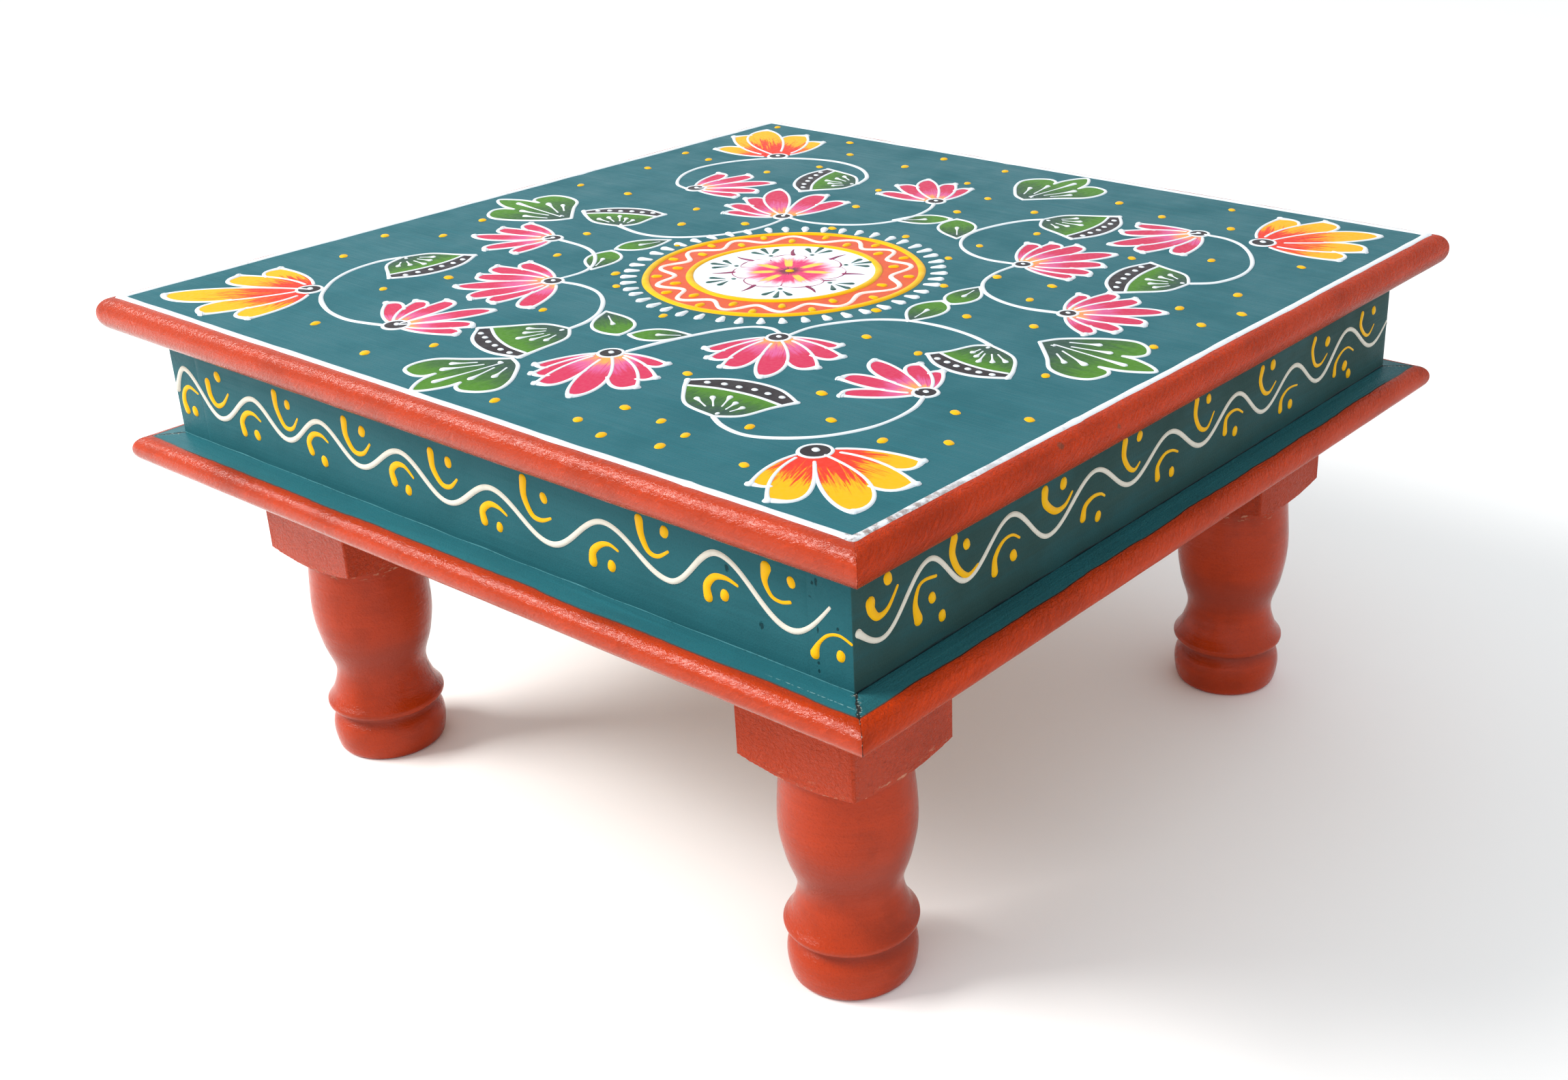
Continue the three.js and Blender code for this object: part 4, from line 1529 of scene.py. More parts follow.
def draw_banded_leaf(greens, inks, outlines, stem, first, second, row):
    """A bell-shaped leaf with a dark band along its mouth. Its own X runs along the mouth."""
    thin = sizes().outline_radius / MM
    middle = (Vector(first) + Vector(second)) / 2
    along = Vector(second) - Vector(first)
    half = along.length / 2
    along.normalize()
    up = Vector((-along.y, along.x))
    if up.dot(Vector(stem) - middle) < 0:
        up.negate()
    rise = (Vector(stem) - middle).dot(up)
    lean = (Vector(stem) - middle).dot(along) / half

    def spot(x, y_half=0.0, y_rise=0.0):
        point = middle + along * x * half + up * (y_half * half + y_rise * rise)
        return point.x, point.y

    left = rounded([spot(lean, 0, 1), spot(lean * 0.4 - 0.5, 0, 0.8), spot(-0.8, 0, 0.34), spot(-1)])
    right = rounded([spot(lean, 0, 1), spot(lean * 0.4 + 0.5, 0, 0.8), spot(0.8, 0, 0.34), spot(1)])
    mouth = rounded([spot(-1), spot(-0.52, -0.3), spot(0, -0.39), spot(0.52, -0.3), spot(1)])
    lip = rounded([spot(-0.84, 0.2), spot(-0.42, 0.1), spot(0, 0.06), spot(0.42, 0.08), spot(0.84, 0.18)])

    def map_of(x, y):
        offset = Vector((x, y)) - Vector(stem)
        return -offset.dot(up) / rise * 0.9, offset.dot(along) / rise + row

    greens.shape(left + mouth[1:-1] + list(reversed(right))[:-1], 3, map_of)
    inks.shape(lip + list(reversed(mouth)), 5, map_of)
    outlines.append([(x, y, thin + 0.35 * (i / len(left)) ** 5) for i, (x, y) in enumerate(left)])
    outlines.append([(x, y, thin + 0.55 * (i / len(right)) ** 5) for i, (x, y) in enumerate(right)])
    outlines.append(same_width(mouth, thin * 1.1))
    outlines.append(same_width(lip, thin))
    for step in range(6):
        share = -0.68 + step * 0.27
        spot_x, spot_y = spot(share, -0.15 * (1 - share * share) + 0.01 + 0.02 * (step % 2))
        outlines.append([(spot_x - 0.2, spot_y, 0.85), (spot_x + 0.2, spot_y, 0.85)])
    for reach, aside in ((0.5, -0.42), (0.62, -0.22), (0.8, 0.0), (0.66, 0.22), (0.5, 0.4)):
        head = spot(aside, 0.0, 1 - reach * 0.9)
        root = spot(lean * 0.8 + aside * 0.25, 0.0, 0.86)
        start = (root[0] * 0.6 + head[0] * 0.4, root[1] * 0.6 + head[1] * 0.4)
        outlines.append(drop(start, head, 0.32, 0.92))
    outlines.append([(*spot(lean * 0.95, 0, 0.9), 0.6), (*spot(lean * 0.95, 0, 0.88), 0.6)])


# Each small leaf: root and tip
SMALL_LEAVES = (
    ((21.8, -69.6), (6.5, -79.6)),
    ((-14.6, -69), (4.2, -81.6)),
    ((63.4, -24), (60, -3.4)),
    ((60.6, 14.4), (63.6, -4.2)),
    ((-8.8, 58), (6.6, 70.4)),
    ((22.8, 52.4), (8.6, 71.2)),
    ((-53.6, -4), (-60.4, -22)),
    ((-49.8, -42.4), (-60, -24.4)),
)


def draw_small_leaf(greens, outlines, root, tip, row):
    thin = sizes().outline_radius / MM
    span = Vector(tip) - Vector(root)
    length = span.length
    leaf = Petal(root, math.degrees(math.atan2(span.y, span.x)), length, LEAF_SIDE, LEAF_SIDE)
    greens.shape(leaf.outline(), 3, leaf.map_of(row))
    outlines.append(line_widths(leaf.left, thin * 0.95, thin * 1.5))
    outlines.append(line_widths(leaf.right, thin * 0.95, thin * 1.5))
    start = Vector(root) + span * 0.2
    end = Vector(root) + span * 0.55
    outlines.append(drop(tuple(start), tuple(end), 0.28, 0.85))


# The big leaf at the middle of each edge: outline of its left half, middle lobe and right half, and its
# veins, drawn for the front edge from the point where the stem would be
LOBED_LEFT = (
    (0, 0), (-9.3, -7.5), (-16.4, -12.5), (-18.6, -18.2), (-17.1, -23.2), (-12.1, -25), (-8.6, -23.9),
    (-7.4, -20.8),
)
LOBED_MIDDLE = (
    (-7.4, -20.8), (-6.6, -26), (-4.3, -30.4), (-1.8, -32.8), (0.9, -30.4), (3.2, -25.4), (3.6, -21.2),
)
LOBED_RIGHT = (
    (3.6, -21.2), (5.2, -23.9), (8.8, -25), (13.6, -22.5), (15.7, -18.2), (13.6, -12.5), (9.3, -6.8),
    (5, -2.4), (0, 0),
)
LOBED_VEINS = (
    ((-5.4, -8), (-10, -12.7), 0.95), ((-2.6, -8), (-8.2, -17.2), 1.15), ((0.6, -4), (-2.4, -24.8), 1.0),
    ((1.8, -8), (3.6, -17.6), 1.0), ((4.6, -6), (7.4, -12.6), 1.0), ((-0.4, -3.6), (-0.2, -4), 0.9),
)

# Each big leaf: root, quarter turns from the front, and how far it is stretched outward
LOBED_LEAVES = (
    ((-4.8, -112.8), 0, 0.99),
    ((104.6, -16.6), 1, 1.19),
    ((12, 105.4), 2, 1.16),
    ((-101, -5), 3, 1.22),
)


def draw_lobed_leaf(greens, outlines, root, turns, stretch, row):
    thin = sizes().outline_radius / MM

    def spot(point):
        x, y = point[0], point[1] * stretch
        for _ in range(turns):
            x, y = -y, x
        return root[0] + x, root[1] + y

    parts = (LOBED_LEFT, LOBED_MIDDLE, LOBED_RIGHT)
    left, middle, right = (rounded([spot(point) for point in part]) for part in parts)
    far = Vector(spot((0, -30))) - Vector(root)
    across = Vector((-far.y, far.x))

    def map_of(x, y):
        offset = Vector((x, y)) - Vector(root)
        return offset.dot(far) / far.length_squared, offset.dot(across) / far.length_squared + row

    greens.shape(left + middle[1:] + right[1:-1], 3, map_of)
    outlines.extend(same_width(part, thin * 1.12) for part in (left, middle, right))
    for start, end, head in LOBED_VEINS:
        outlines.append(drop(spot(start), spot(end), 0.36, head))


class CHOWKI_OT_leaves(bpy.types.Operator):
    """Paint the banded, the small and the three-lobed leaves"""

    bl_idname = "chowki.leaves"
    bl_label = "Leaves"

    def execute(self, context):
        greens = Layers("leaf_washes", "leaf", "green_paint")
        inks = Layers("leaf_bands", "ink", "black_paint")
        outlines = []
        for row, (stem, first, second) in enumerate(BANDED_LEAVES):
            draw_banded_leaf(greens, inks, outlines, stem, first, second, row * 3)
        for row, (root, tip) in enumerate(SMALL_LEAVES):
            draw_small_leaf(greens, outlines, root, tip, 40 + row * 3)
        for row, (root, turns, stretch) in enumerate(LOBED_LEAVES):
            draw_lobed_leaf(greens, outlines, root, turns, stretch, 80 + row * 3)
        greens.place()
        inks.place()
        beads("leaf_outlines", outlines, "white", "white_paint")
        return {"FINISHED"}


# Stems, from flower to leaf and from flower to flower
VINES = (
    ((105, -69.4), (108, -77), (108.8, -86), (107.4, -95), (103, -104), (97, -110.6), (90, -115),
     (84, -116.3), (77, -115), (71, -112)),
    ((-110.4, -69.6), (-112.4, -77), (-111.6, -87), (-108, -96), (-102.6, -103.4), (-96, -110),
     (-88, -114.8), (-79, -118), (-69, -118.8), (-58, -116)),
    ((-97.6, 47.4), (-104, 49.6), (-110, 56), (-114.4, 65), (-115.4, 75), (-112, 87), (-105, 97.4),
     (-96, 104.4), (-85, 109), (-74, 109.6), (-63, 106), (-54, 98), (-50.4, 88.6)),
    ((87, 103.8), (95, 103.6), (103, 99.8), (111, 91.4), (117, 81), (119, 70), (116.6, 60), (111, 54.6)),
    ((43.8, -53.2), (44.2, -45), (47.6, -37.4), (53.6, -29.4), (62, -24), (71, -22.2), (80, -22.4),
     (88.4, -24.2), (95.4, -27)),
    ((40.6, -53.6), (35.8, -52), (30.4, -54), (25.6, -60.4), (22.2, -68.4), (19, -78.6), (16.6, -90)),
    ((-50.6, -54.8), (-50, -47), (-52, -40.6), (-58, -33.4), (-65, -28.4), (-73, -26), (-83.8, -25.4)),
    ((-47.4, -57), (-40, -55.8), (-31, -57.4), (-22.6, -62.8), (-15.6, -71), (-12, -79), (-11.4, -86)),
    ((-40.2, 37), (-39.4, 28), (-40.6, 18.6), (-45, 9), (-52, 1), (-60, -3.4), (-69, -4.4), (-80, -2.2)),
    ((-40, 39.6), (-32, 38.8), (-22, 41.6), (-13, 48), (-7.6, 57), (-6, 67), (-7.4, 76), (-10.4, 82.8)),
    ((55, 40.2), (46, 39), (37, 41), (29, 46.6), (24, 54.6), (22.6, 64), (24.8, 75), (28.6, 83.6),
     (32.6, 88)),
    ((56.4, 38.4), (56, 29), (58.6, 19), (65, 11.2), (74, 6.8), (84, 5.6), (94, 7.6)),
)


# The border: its distance from the middle, and where the brush was set down for each side
BORDER_REACH = 146.2
BORDER_STARTS = (96, -60.7, 24, -40)


def vine_stroke(points, half_width, seed):
    """A stem whose width wanders and grows a little towards its end."""
    stem = smooth_line(same_width(points, half_width), 1.1)
    last = len(stem) - 1
    stroke = []
    for index, (x, y, half) in enumerate(stem):
        uneven = 0.22 * noise.noise(Vector((index * 0.09, seed * 5, 0)))
        stroke.append((x, y, half * (0.86 + uneven + 0.16 * (index / last))))
    return stroke


def border_stroke(turns, half_width):
    """One side of the border, thicker at its ends and where the brush was set down."""
    stroke = []
    for step in range(147):
        along = -BORDER_REACH + 2 * BORDER_REACH * step / 146
        wander = 0.35 * noise.noise(Vector((along * 0.03, turns * 9, 4)))
        uneven = 0.18 * noise.noise(Vector((along * 0.11, turns * 9, 1)))
        near_end = 0.25 * max(0, 1 - (BORDER_REACH - abs(along)) / 4)
        start_blob = 0.3 * math.exp(-((along - BORDER_STARTS[turns]) / 2.2) ** 2)
        spot = Matrix.Rotation(turns * QUARTER, 2) @ Vector((along, -(BORDER_REACH + wander)))
        stroke.append((spot.x, spot.y, half_width * (0.92 + uneven + near_end + start_blob)))
    return stroke


class CHOWKI_OT_vines(bpy.types.Operator):
    """Paint the white stems and the white border of the top"""

    bl_idname = "chowki.vines"
    bl_label = "Stems and border"

    def execute(self, context):
        vine = sizes().vine_radius / MM
        stems = [vine_stroke(points, vine, seed) for seed, points in enumerate(VINES)]
        beads("vine_stems", stems, "white", "white_paint")
        border = sizes().border_radius / MM
        strokes = [border_stroke(turns, border) for turns in range(4)]
        beads("border_line", strokes, "border", "white_paint", 0.3)
        return {"FINISHED"}


# The medallion in the middle


# Centre of the rings, and of the flower, which isn't quite in their middle
MEDALLION = (1.7, -8.9)
HEART = (2.4, -7.3)
ROSETTE_RADIUS = 17.8

# Tips and notches of the flower in turn, as angle and radius
ROSETTE_RIM = (
    (134, 17.8), (158, 13.9), (180, 17.6), (200, 16.4), (222, 17.8), (247, 14.8), (272, 17.7), (302, 15),
    (333, 17.8), (359, 13.8), (388, 17.8), (411, 15.8), (438, 17.8), (471, 15.3), (494, 17.8),
)
SPRIGS = (109, 57, -6, -57, -118, -162, 151)
SPIKES = (128, 83, 26, -30, -86, -140, 175)

# Angles at which the wave between the rings reaches out
WAVE_PEAKS = (-178, -151, -124, -100, -74, -49, -23, 12, 45, 71, 96, 128, 156)


def around(centre, angle, radius):
    turn = heading(angle)
    return centre[0] + turn.x * radius, centre[1] + turn.y * radius


def ring_stroke(radius, half_width, wobble, seed):
    """A closed hand-drawn circle."""
    stroke = []
    for angle in range(0, 362, 2):
        turn = heading(angle)
        uneven = wobble * noise.noise(Vector((turn.x * 1.6, turn.y * 1.6, seed)))
        thick = half_width * (1 + 0.14 * noise.noise(Vector((turn.x * 3, turn.y * 3, seed + 7))))
        stroke.append((*around(MEDALLION, angle, radius + uneven), thick))
    return stroke


def wave_round(inner, outer, half_width):
    """A wave between the rings. Its dots lie in its bends: inside each crest and outside each trough."""
    wave = []
    dots = []
    for start, end in zip(WAVE_PEAKS, WAVE_PEAKS[1:] + (WAVE_PEAKS[0] + 360,)):
        for step in range(18):
            angle = start + (end - start) * step / 18
            swing = (1 + math.cos(2 * math.pi * step / 18)) / 2
            thick = half_width * (1 + 0.25 * noise.noise(Vector((angle * 0.07, 0, 9))))
            wave.append((*around(MEDALLION, angle, inner + (outer - inner) * swing), thick))
        for angle, reach in ((start, inner + 0.4), ((start + end) / 2, outer - 0.4)):
            inner_end = (*around(MEDALLION, angle, reach - 0.7), 1.1)
            dots.append([inner_end, (*around(MEDALLION, angle, reach + 0.6), 1.25)])
    return wave + wave[:2], dots


def rosette_outline():
    """Points round the flower: broad petals, parted by sharp notches."""
    outline = []
    for (start, first), (end, second) in zip(ROSETTE_RIM, ROSETTE_RIM[1:]):
        for step in range(7):
            share = step / 7
            from_tip = share if first > second else 1 - share
            swell = abs(first - second) * math.cos(QUARTER * from_tip) ** 0.6
            outline.append(around(HEART, start + (end - start) * share, min(first, second) + swell))
    return outline


def draw_rosette():
    """The flower: one flat shape, its plum edge, a plum line down from each notch and its yellow heart."""
    outline = rosette_outline()
    flower = Layers("rosette_petals", "rosette", "pink_paint")
    flower.shape(outline, 7, lambda x, y: (x, y))
    flower.place()
    closed = outline + outline[:2]
    lines = [[(x, y, 0.36 + 0.2 * noise.noise(Vector((i * 0.21, 0, 0)))) for i, (x, y) in enumerate(closed)]]
    for angle, reach in ROSETTE_RIM[1::2]:
        root = (*around(HEART, angle + 2, 4.5), 0.12)
        middle = (*around(HEART, angle + 1, 9.5), 0.22)
        lines.append(smooth_line([(*around(HEART, angle, reach), 0.42), middle, root]))
    curl = [(*around(HEART, 8, 18.6), 0.15), (*around(HEART, -3, 16.2), 0.6), (*around(HEART, -4, 12.6), 0.2)]
    lines.append(smooth_line(curl, 0.7))
    beads("rosette_outline", lines, "plum", "pink_paint", 0.45)
    heart = [(HEART[0] - 0.2, HEART[1], 1.25), (HEART[0] + 0.2, HEART[1] + 0.2, 1.25)]
    beads("rosette_heart", [heart], "yellow", "yellow_paint", 0.5)


def draw_sprigs():
    """Leaf sprigs between the petals and a thorn beyond each petal."""
    leaves = []
    for angle in SPRIGS:
        stalk = around(HEART, angle, 18.4)
        leaves.append([(*stalk, 0.85), (stalk[0] + 0.1, stalk[1], 0.85)])
        for aside, reach in ((-9, 24.4), (0, 26.4), (9, 24.4)):
            root = (*around(HEART, angle + aside * 0.3, 20.2), 0.25)
            leaves.append(smooth_line([root, (*around(HEART, angle + aside, reach), 1.08)], 0.7))
    beads("medallion_sprigs", leaves, "bottle", "green_paint", 0.35)
    thorns = []
    for angle in SPIKES:
        root = (*around(HEART, angle, 17.6), 0.9)
        middle = (*around(HEART, angle + 1.5, 21.6), 0.62)
        thorns.append(smooth_line([root, middle, (*around(HEART, angle, 26), 0.12)], 0.7))
    beads("medallion_thorns", thorns, "plum", "pink_paint", 0.35)


class CHOWKI_OT_medallion(bpy.types.Operator):
    """Paint the round medallion in the middle of the top"""

    bl_idname = "chowki.medallion"
    bl_label = "Medallion"

    def execute(self, context):
        ground = Layers("medallion_ground", "coral", "orange_paint")
        ground.disc(MEDALLION, 43, 3, 160, 0.008, 2)
        ground.place()
        plate = Layers("medallion_plate", "porcelain", "white_paint")
        plate.disc(MEDALLION, 29.6, 5, 120, 0.008, 5)
        plate.place()
        wave, dots = wave_round(34, 40, 0.85)
        rings = [ring_stroke(43, 1.2, 0.5, 2), ring_stroke(29.5, 1.2, 0.45, 5)]
        beads("medallion_rings", rings + dots, "yellow", "yellow_paint")
        beads("medallion_wave", [wave], "rose_white", "white_paint")
        draw_rosette()
        draw_sprigs()
        drops = []
        for step in range(48):
            angle = 3.9 + 7.5 * step + 1.6 * noise.noise(Vector((step * 1.7, 0, 0)))
            reach = 49.6 + 0.9 * noise.noise(Vector((step * 2.3, 5, 0)))
            root = (*around(MEDALLION, angle, 46.5), 0.75)
            drops.append(smooth_line([root, (*around(MEDALLION, angle + 0.4, reach), 1.42)], 0.7))
        beads("medallion_drops", drops, "white", "white_paint")
        return {"FINISHED"}


# Yellow dots scattered over the top
SCATTERED_DOTS = (
    (-47.5, -6.5), (-82, -15), (-124.5, -24.5), (-120, -45), (-136, -56.5), (-71, -38), (-40.5, -41),
    (-30.5, -50), (-80, -74.5), (-127, -79.5), (-31, -79), (-87, -94), (-31.5, -118.5), (-75.5, -126.5),
    (-42, -134), (74.5, -10.5), (95.5, -6.5), (132.5, -1.5), (49.5, -21.5), (62.5, -41.5), (83, -44),
    (121.5, -38), (136.5, -66.5), (118.5, -73.5), (82, -83), (2, -62), (43, -93), (96.5, -96),
    (115.5, -99), (129.5, -90.5), (83, -111.5), (48, -120.5), (62.3, -121.8), (74, -125),
    (98.8, -130.2), (44.5, -133.5), (74, -133.7), (57, -137.2), (16.7, -137), (-138, 141), (-95.3, 137),
    (-48, 137), (-17.5, 135), (-82.3, 121.8), (-52.8, 119), (-18.2, 112.5), (-79, 100), (-38.5, 86),
    (-137, 86.5), (-122, 84), (-90, 82.5), (-131.5, 61), (-30.5, 64), (-133, 28.3), (-109.5, 29.8),
    (-74.2, 29), (-47, 25), (-64.5, 12), (-19, 38), (78.7, 136), (42, 121.3), (63.7, 114.5),
    (90.3, 115), (0.8, 99.5), (24.8, 94), (41, 72.5), (2.7, 79), (81.8, 67), (130, 89.5), (103.5, 79.5),
    (34, 50), (7.5, 44.5), (34.3, 33), (58.8, 25.8), (78, 28), (51, 9), (80.2, 13), (128, 53),
    (138, 37.8), (120.5, 32), (133.5, 22.5),
)


class CHOWKI_OT_dots(bpy.types.Operator):
    """Paint the yellow dots of the top"""

    bl_idname = "chowki.dots"
    bl_label = "Dots"

    def execute(self, context):
        radius = sizes().dot_radius / MM
        chance = random.Random(11)
        strokes = []
        for x, y in SCATTERED_DOTS:
            lean = heading(chance.uniform(-70, -20))
            half = radius * chance.uniform(0.68, 0.84)
            shift = lean * radius * 0.26
            strokes.append([(x - shift.x, y - shift.y, half), (x + shift.x, y + shift.y, half * 0.94)])
        beads("scattered_dots", strokes, "yellow", "yellow_paint", 0.3)
        return {"FINISHED"}


# The scroll on the sides of the box


# Crests and troughs of the wave, as distance along the side and height above the floor
FRONT_WAVE = (
    (-137.2, 130.2), (-131.6, 137.7), (-115.3, 125), (-96, 135.5), (-80.6, 126.3), (-62.8, 136),
    (-45.5, 126.5), (-26, 135.7), (-7, 125.5), (12.5, 134.7), (34.5, 124.6), (56.5, 136.6),
    (78.5, 126.8), (96.2, 139.3), (119, 125.7), (131.5, 135.4),
)
RIGHT_WAVE = (
    (-136.8, 130.3), (-128.5, 125.4), (-110.3, 138.9), (-95.5, 127.6), (-77.3, 138.3), (-60, 126.3),
    (-39, 137.2), (-20.6, 127.2), (-1.4, 136), (17.6, 126.2), (36.6, 135.8), (54.2, 125), (72.6, 134.2),
    (89.6, 124.4), (108.4, 136), (127.6, 125.6), (137.6, 131),
)

# Comma strokes: half width of the head, how fast it thins, and points from the head to the tail
FRONT_COMMAS = (
    (1.35, 1, (-134, 123.5), (-134.8, 126.5), (-133.6, 130), (-130.4, 131.9), (-126.2, 130.6)),
    (1.35, 1, (-119.3, 136), (-119, 131.8), (-116.4, 129), (-112.6, 130.4), (-109, 134.2)),
    (1.35, 1, (-103.3, 123.2), (-103.7, 126.8), (-100.8, 129.9), (-97, 130.6), (-93.7, 129.1)),
    (1.3, 1, (-83.9, 140.2), (-83.7, 135.4), (-80.9, 130.4), (-77, 130.7), (-73.8, 134.4)),
    (1.35, 1, (-68.9, 125.4), (-69.6, 128.4), (-66.9, 131.2), (-63, 131.8), (-60.1, 130.4)),
    (1.4, 1, (-50.5, 139.5), (-50.5, 134.8), (-47.6, 130.7), (-43.3, 131), (-39.6, 134.6)),
    (1.45, 1, (-30.2, 125.6), (-30.8, 129), (-28.1, 131.4), (-24.6, 131.6), (-21.3, 129.1)),
    (1.4, 1, (-11.9, 139.2), (-11.6, 134.4), (-8.6, 130.5), (-5, 130.6), (-1.7, 133.5)),
    (1.45, 1, (8.1, 124), (7.9, 127.2), (11.1, 129.7), (14.6, 129.7), (17.8, 128.2)),
    (1.4, 1, (26.2, 140.9), (25.9, 136), (28.4, 131.3), (32, 130.6), (35.8, 132.1)),
    (1.6, 1.5, (50.8, 124.2), (51.2, 127.2), (54.2, 129.8), (57.6, 130.8), (60.6, 129.9)),
    (1.5, 1.2, (69.4, 141), (69.8, 137), (71.9, 133.1), (75.2, 132.5), (79, 134.8)),
    (1.55, 1.2, (92, 126.5), (91.9, 129.6), (94.6, 132.6), (98.6, 133.3), (102.2, 132.4)),
    (1.7, 3.2, (111.9, 140.1), (111.3, 136.5), (113.2, 133.1), (116.2, 132.3), (119.2, 133.1)),
    (1.45, 6, (126.3, 121.8), (127.6, 124.9), (130.5, 127.9), (134.2, 129), (137.8, 127.9)),
)
RIGHT_COMMAS = (
    (1.75, 1.3, (-132.3, 136.2), (-131.9, 134), (-129.6, 131.6), (-126, 132.4), (-122.4, 136.7)),
    (1.6, 3, (-114.8, 124.6), (-115.9, 129), (-114.6, 133), (-112, 134.1), (-107.8, 133.5)),
    (1.4, 0.8, (-100.5, 140.7), (-101.3, 136.8), (-99, 131.8), (-95, 128.6), (-91, 130)),
    (1.35, 2, (-84, 125), (-83.8, 129), (-80.6, 132.2), (-76.6, 132.6), (-73.4, 130.7)),
    (1.5, 1, (-62.3, 139.6), (-61.9, 135.9), (-57.4, 132.2), (-53, 132.3), (-49.8, 135)),
    (1.35, 2, (-44.4, 125.4), (-43.4, 128.5), (-39.6, 129.9), (-36, 129.5), (-34, 128.3)),
    (1.3, 1, (-24.4, 140.8), (-24.8, 136.6), (-22.3, 132.5), (-19.2, 130.7), (-16.6, 132.1)),
    (1.3, 2, (-6.8, 124.1), (-6.9, 127.6), (-3.4, 130), (0.6, 129.9), (3.8, 128.5)),
    (1.2, 1, (13.3, 141.1), (12.9, 136.6), (15.8, 131.8), (20, 130.5), (23.5, 134.4)),
    (1.25, 2, (30.6, 125.7), (30.9, 129.6), (33.8, 131), (37.6, 130.7), (40.9, 128.8)),
    (1.15, 0.9, (51.8, 139.3), (50.9, 135.6), (53.5, 131.4), (57, 130.2), (60.8, 132.6)),
    (1.2, 2, (65, 121.9), (65.3, 125.2), (68.2, 127.2), (71.6, 127.6), (75.3, 127.1)),
    (1.0, 0.9, (85.5, 139.2), (84.3, 135.6), (86.7, 130.5), (90.8, 129.5), (94.7, 131.8)),
    (1.1, 2, (101.1, 122.9), (101.6, 126.6), (105.4, 129.3), (109.8, 129.7), (113.8, 127.6)),
    (1.0, 1, (118.5, 138.7), (117.9, 135), (121.4, 131), (124.8, 130), (128, 132.6)),
)

# Yellow dots beside the commas
FRONT_DOTS = (
    (-129.6, 124.1), (-113.3, 138.9), (-96.5, 123.9), (-77.9, 137.9), (-63.1, 123.7), (-42.5, 137.9),
    (-24.2, 124.6), (-4.6, 137.9), (14.3, 123.8), (33.8, 137.4), (57.8, 124.8), (78.2, 140),
    (97.7, 128.5), (119.8, 138.5), (134.4, 123.7),
)
RIGHT_DOTS = (
    (-125.8, 140), (-109.4, 128.3), (-105.6, 121.9), (-95.6, 137.3), (-76, 126.7), (-53.9, 138.8),
    (-37.1, 123.3), (-17.1, 140), (0.8, 123.3), (20, 139.5), (36.7, 124.1), (58.3, 138.7), (71.3, 122),
    (94.4, 136), (108.1, 123.9), (111.4, 120.3), (126.9, 137.7),
)


def wave_line(turning_points, half_width):
    """A wave that is level at each crest and trough but not at its ends, with a blob where it starts."""
    stroke = []
    final = len(turning_points) - 2
    for index, ((x1, y1), (x2, y2)) in enumerate(zip(turning_points, turning_points[1:])):
        count = max(8, int((x2 - x1) / 0.9))
        for step in range(count):
            share = step / count
            ease = (1 - math.cos(math.pi * share)) / 2
            if index == 0:
                ease = math.sin(QUARTER * share)
            elif index == final:
                ease = 1 - math.cos(QUARTER * share)
            stroke.append((x1 + (x2 - x1) * share, y1 + (y2 - y1) * ease))
    stroke.append(turning_points[-1])
    last = len(stroke) - 1
    return [
        (x, y, half_width * (1 + 0.14 * noise.noise(Vector((x * 0.09, y * 0.05, 3)))
                             + 0.6 * math.exp(-i / 1.7) - 0.45 * max(0, 1 - (last - i) / 12)))
        for i, (x, y) in enumerate(stroke)
    ]


def comma(head, thinning, points):
    """One comma stroke, from its thick head to its thin tail."""
    last = len(points) - 1
    widths = [head * (0.28 + 0.72 * (1 - index / last) ** thinning) for index in range(last + 1)]
    return smooth_line([(x, y, half) for (x, y), half in zip(points, widths)], 0.7)


def seam_line(turns, half_width):
    """The line where the box stands on the plinth: a thread of enamel in pale teal, a painted highlight along
    the seam, or an open seam.
    """
    line = []
    for step in range(161):
        x = (BOX_OUTER - 0.5) * (step / 80 - 1)
        drift = noise.noise(Vector((x * 0.08, turns * 7, 0)))
        line.append((x, BOX_BOTTOM + 0.2 + 0.2 * drift, half_width * (1 + 0.75 * drift)))
    return line


class CHOWKI_OT_scroll(bpy.types.Operator):
    """Paint the wave and the comma strokes on the four sides of the box"""

    bl_idname = "chowki.scroll"
    bl_label = "Scroll on the sides"

    def execute(self, context):
        chance = random.Random(5)
        front_half_width = sizes().scroll_radius / MM
        for turns, side in enumerate(SIDES):
            wave = RIGHT_WAVE if turns % 2 else FRONT_WAVE
            commas = RIGHT_COMMAS if turns % 2 else FRONT_COMMAS
            dots = RIGHT_DOTS if turns % 2 else FRONT_DOTS
            sheet = sheet_on_side(turns)
            half_width = front_half_width * (0.86 if turns % 2 else 1)
            beads(f"scroll_wave_{side}", [wave_line(wave, half_width)], "cream", "white_paint", sheet=sheet)
            strokes = [comma(head, thinning, points) for head, thinning, *points in commas]
            for x, y in dots:
                half = chance.uniform(1.25, 1.5)
                lean = heading(chance.uniform(60, 120)) * 0.3
                strokes.append([(x - lean.x, y - lean.y, half), (x + lean.x, y + lean.y, half)])
            beads(f"scroll_commas_{side}", strokes, "yellow", "yellow_paint", 0.35, sheet)
            # On the front and back the seam is a pale teal thread, a painted highlight; on the right and left
            # it is the dark open seam
            seam, half = ("gap", 0.34) if turns % 2 else ("seam", 0.2)
            beads(f"seam_line_{side}", [seam_line(turns, half)], seam, "teal_paint", 0.35, sheet)
        return {"FINISHED"}


# Studio


# The camera of the photograph: its place, where it looks in degrees, and its lens in millimetres
CAMERA_PLACE = (0.384469, -0.419203, 0.329575)
CAMERA_HEADING = 37.985
CAMERA_FALL = 25.185
CAMERA_ROLL = -0.691
CAMERA_LENS = 42.38
CAMERA_SHIFT = -0.1025


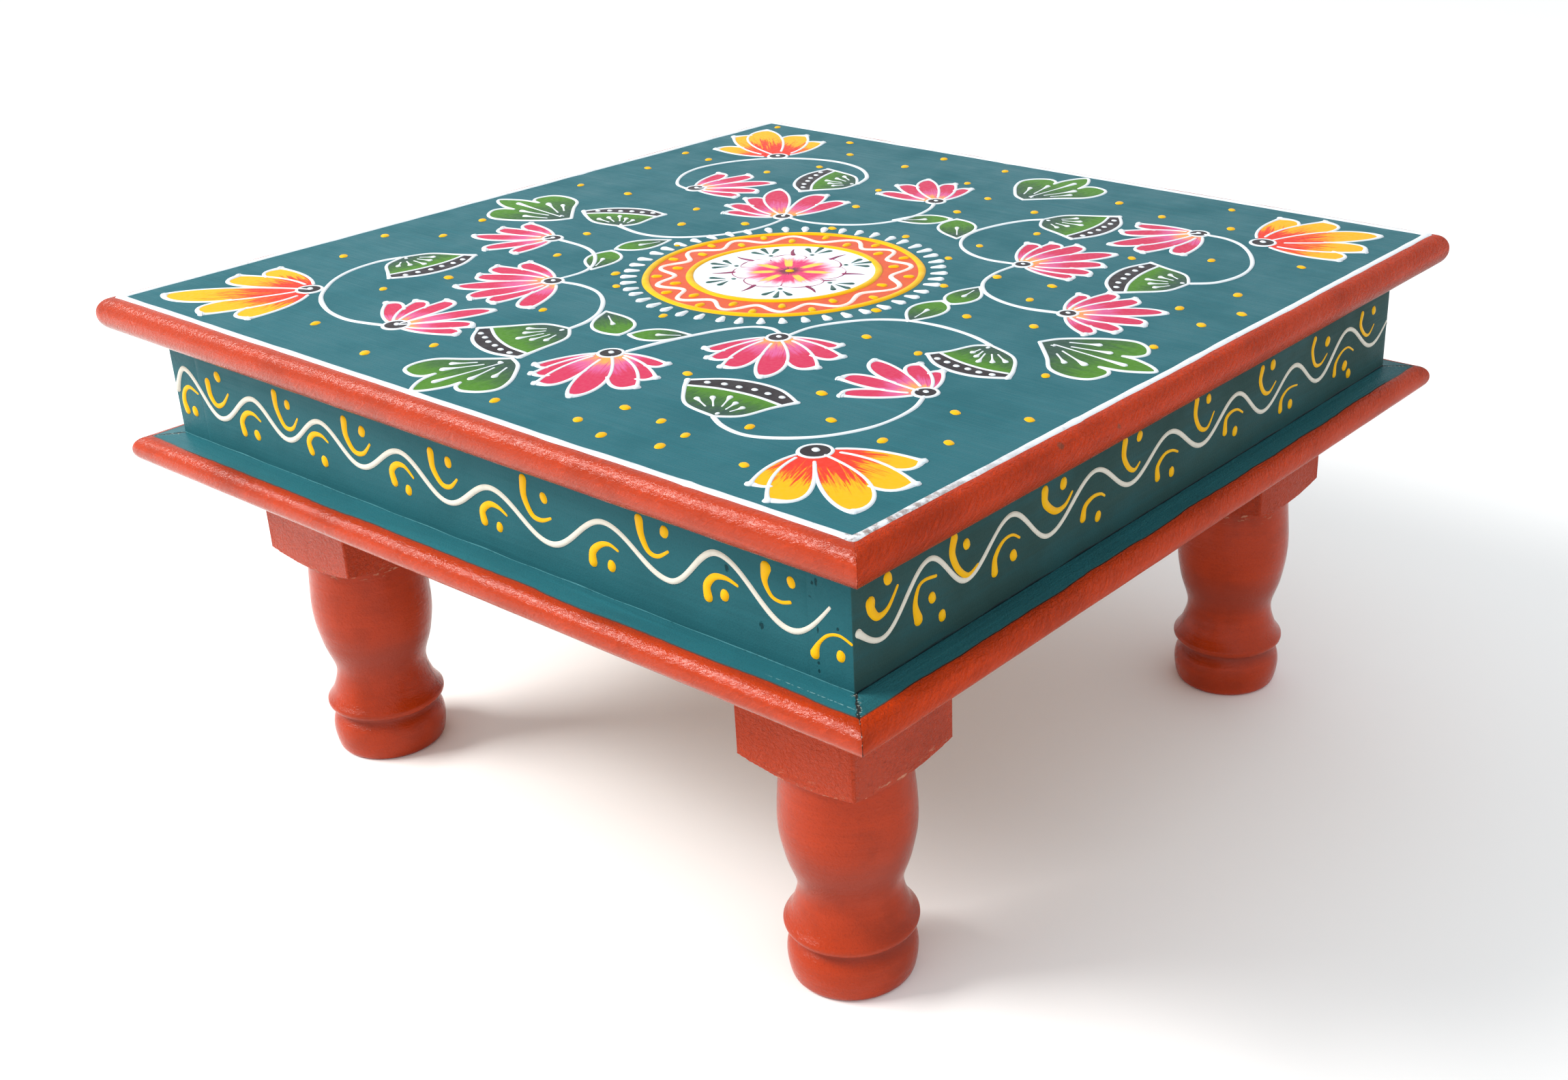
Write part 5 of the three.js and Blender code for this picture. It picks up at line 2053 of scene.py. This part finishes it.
def make_camera():
    camera = bpy.data.objects.new("camera", bpy.data.cameras.new("camera"))
    bpy.context.scene.collection.objects.link(camera)
    turned = Matrix.Rotation(math.radians(CAMERA_HEADING), 4, "Z")
    tipped = Matrix.Rotation(math.radians(90 - CAMERA_FALL), 4, "X")
    rolled = Matrix.Rotation(math.radians(CAMERA_ROLL), 4, "Z")
    camera.matrix_world = Matrix.Translation(CAMERA_PLACE) @ turned @ tipped @ rolled
    camera.data.sensor_width = 36
    camera.data.lens = CAMERA_LENS
    camera.data.shift_x = CAMERA_SHIFT
    camera.data.clip_start = 0.01
    bpy.context.scene.camera = camera


# What both lights are turned to
LIT_MIDDLE = Vector((0, 0, 0.1))


def soft_light(name, place, size, power, colour):
    lamp = bpy.data.lights.new(name, "AREA")
    lamp.shape = "RECTANGLE"
    lamp.size, lamp.size_y = size
    lamp.energy = power
    lamp.color = colour
    light = bpy.data.objects.new(name, lamp)
    light.location = place
    light.rotation_euler = (LIT_MIDDLE - Vector(place)).to_track_quat("-Z", "Y").to_euler()
    bpy.context.scene.collection.objects.link(light)


class CHOWKI_OT_stage(bpy.types.Operator):
    """Set up the camera, the pale floor and the soft lights"""

    bl_idname = "chowki.stage"
    bl_label = "Stage"

    def execute(self, context):
        studio = context.scene.chowki_studio
        make_camera()
        bm = bmesh.new()
        bmesh.ops.create_grid(bm, x_segments=8, y_segments=8, size=studio.floor_half)
        mesh = bpy.data.meshes.new("floor")
        bm.to_mesh(mesh)
        bm.free()
        floor = bpy.data.objects.new("floor", mesh)
        mesh.materials.append(material_named("floor"))
        context.scene.collection.objects.link(floor)
        soft_light("key", (-0.9, -0.88, 1.1), (0.75, 0.5), studio.key_power, (1, 0.97, 0.93))
        soft_light("fill", (0.9, -0.9, 0.9), (1.2, 1.2), studio.fill_power, (0.94, 0.97, 1))
        world = context.scene.world or bpy.data.worlds.new("studio")
        context.scene.world = world
        world.use_nodes = True
        background = world.node_tree.nodes["Background"]
        background.inputs["Color"].default_value = (0.95, 0.985, 1, 1)
        background.inputs["Strength"].default_value = studio.sky
        context.scene.view_settings.view_transform = "Standard"
        return {"FINISHED"}


class CHOWKI_PT_panel(bpy.types.Panel):
    """Lists the steps that make the chowki"""

    bl_idname = "CHOWKI_PT_panel"
    bl_label = "Painted Chowki"
    bl_space_type = "VIEW_3D"
    bl_region_type = "UI"
    bl_category = "Chowki"

    def draw(self, context):
        for name, group in SETTINGS:
            box = self.layout.box()
            for setting in group.__annotations__:
                box.prop(getattr(context.scene, name), setting)
        for operator in OPERATORS:
            self.layout.operator(operator.bl_idname)


OPERATORS = (
    CHOWKI_OT_stage,
    CHOWKI_OT_boards,
    CHOWKI_OT_legs,
    CHOWKI_OT_nails,
    CHOWKI_OT_vines,
    CHOWKI_OT_medallion,
    CHOWKI_OT_lotuses,
    CHOWKI_OT_leaves,
    CHOWKI_OT_dots,
    CHOWKI_OT_scroll,
)
SETTINGS = (("chowki_sizes", ChowkiSizes), ("chowki_colours", ChowkiColours), ("chowki_studio", ChowkiStudio))


def register():
    for name, group in SETTINGS:
        bpy.utils.register_class(group)
        setattr(bpy.types.Scene, name, PointerProperty(type=group))
    for listed in (*OPERATORS, CHOWKI_PT_panel):
        bpy.utils.register_class(listed)


def unregister():
    for listed in (CHOWKI_PT_panel, *reversed(OPERATORS)):
        bpy.utils.unregister_class(listed)
    for name, group in reversed(SETTINGS):
        delattr(bpy.types.Scene, name)
        bpy.utils.unregister_class(group)


def main():
    register()
    bpy.ops.chowki.stage()
    bpy.ops.chowki.boards()
    bpy.ops.chowki.legs()
    bpy.ops.chowki.nails()
    bpy.ops.chowki.vines()
    bpy.ops.chowki.medallion()
    bpy.ops.chowki.lotuses()
    bpy.ops.chowki.leaves()
    bpy.ops.chowki.dots()
    bpy.ops.chowki.scroll()


if __name__ == "__main__":
    main()
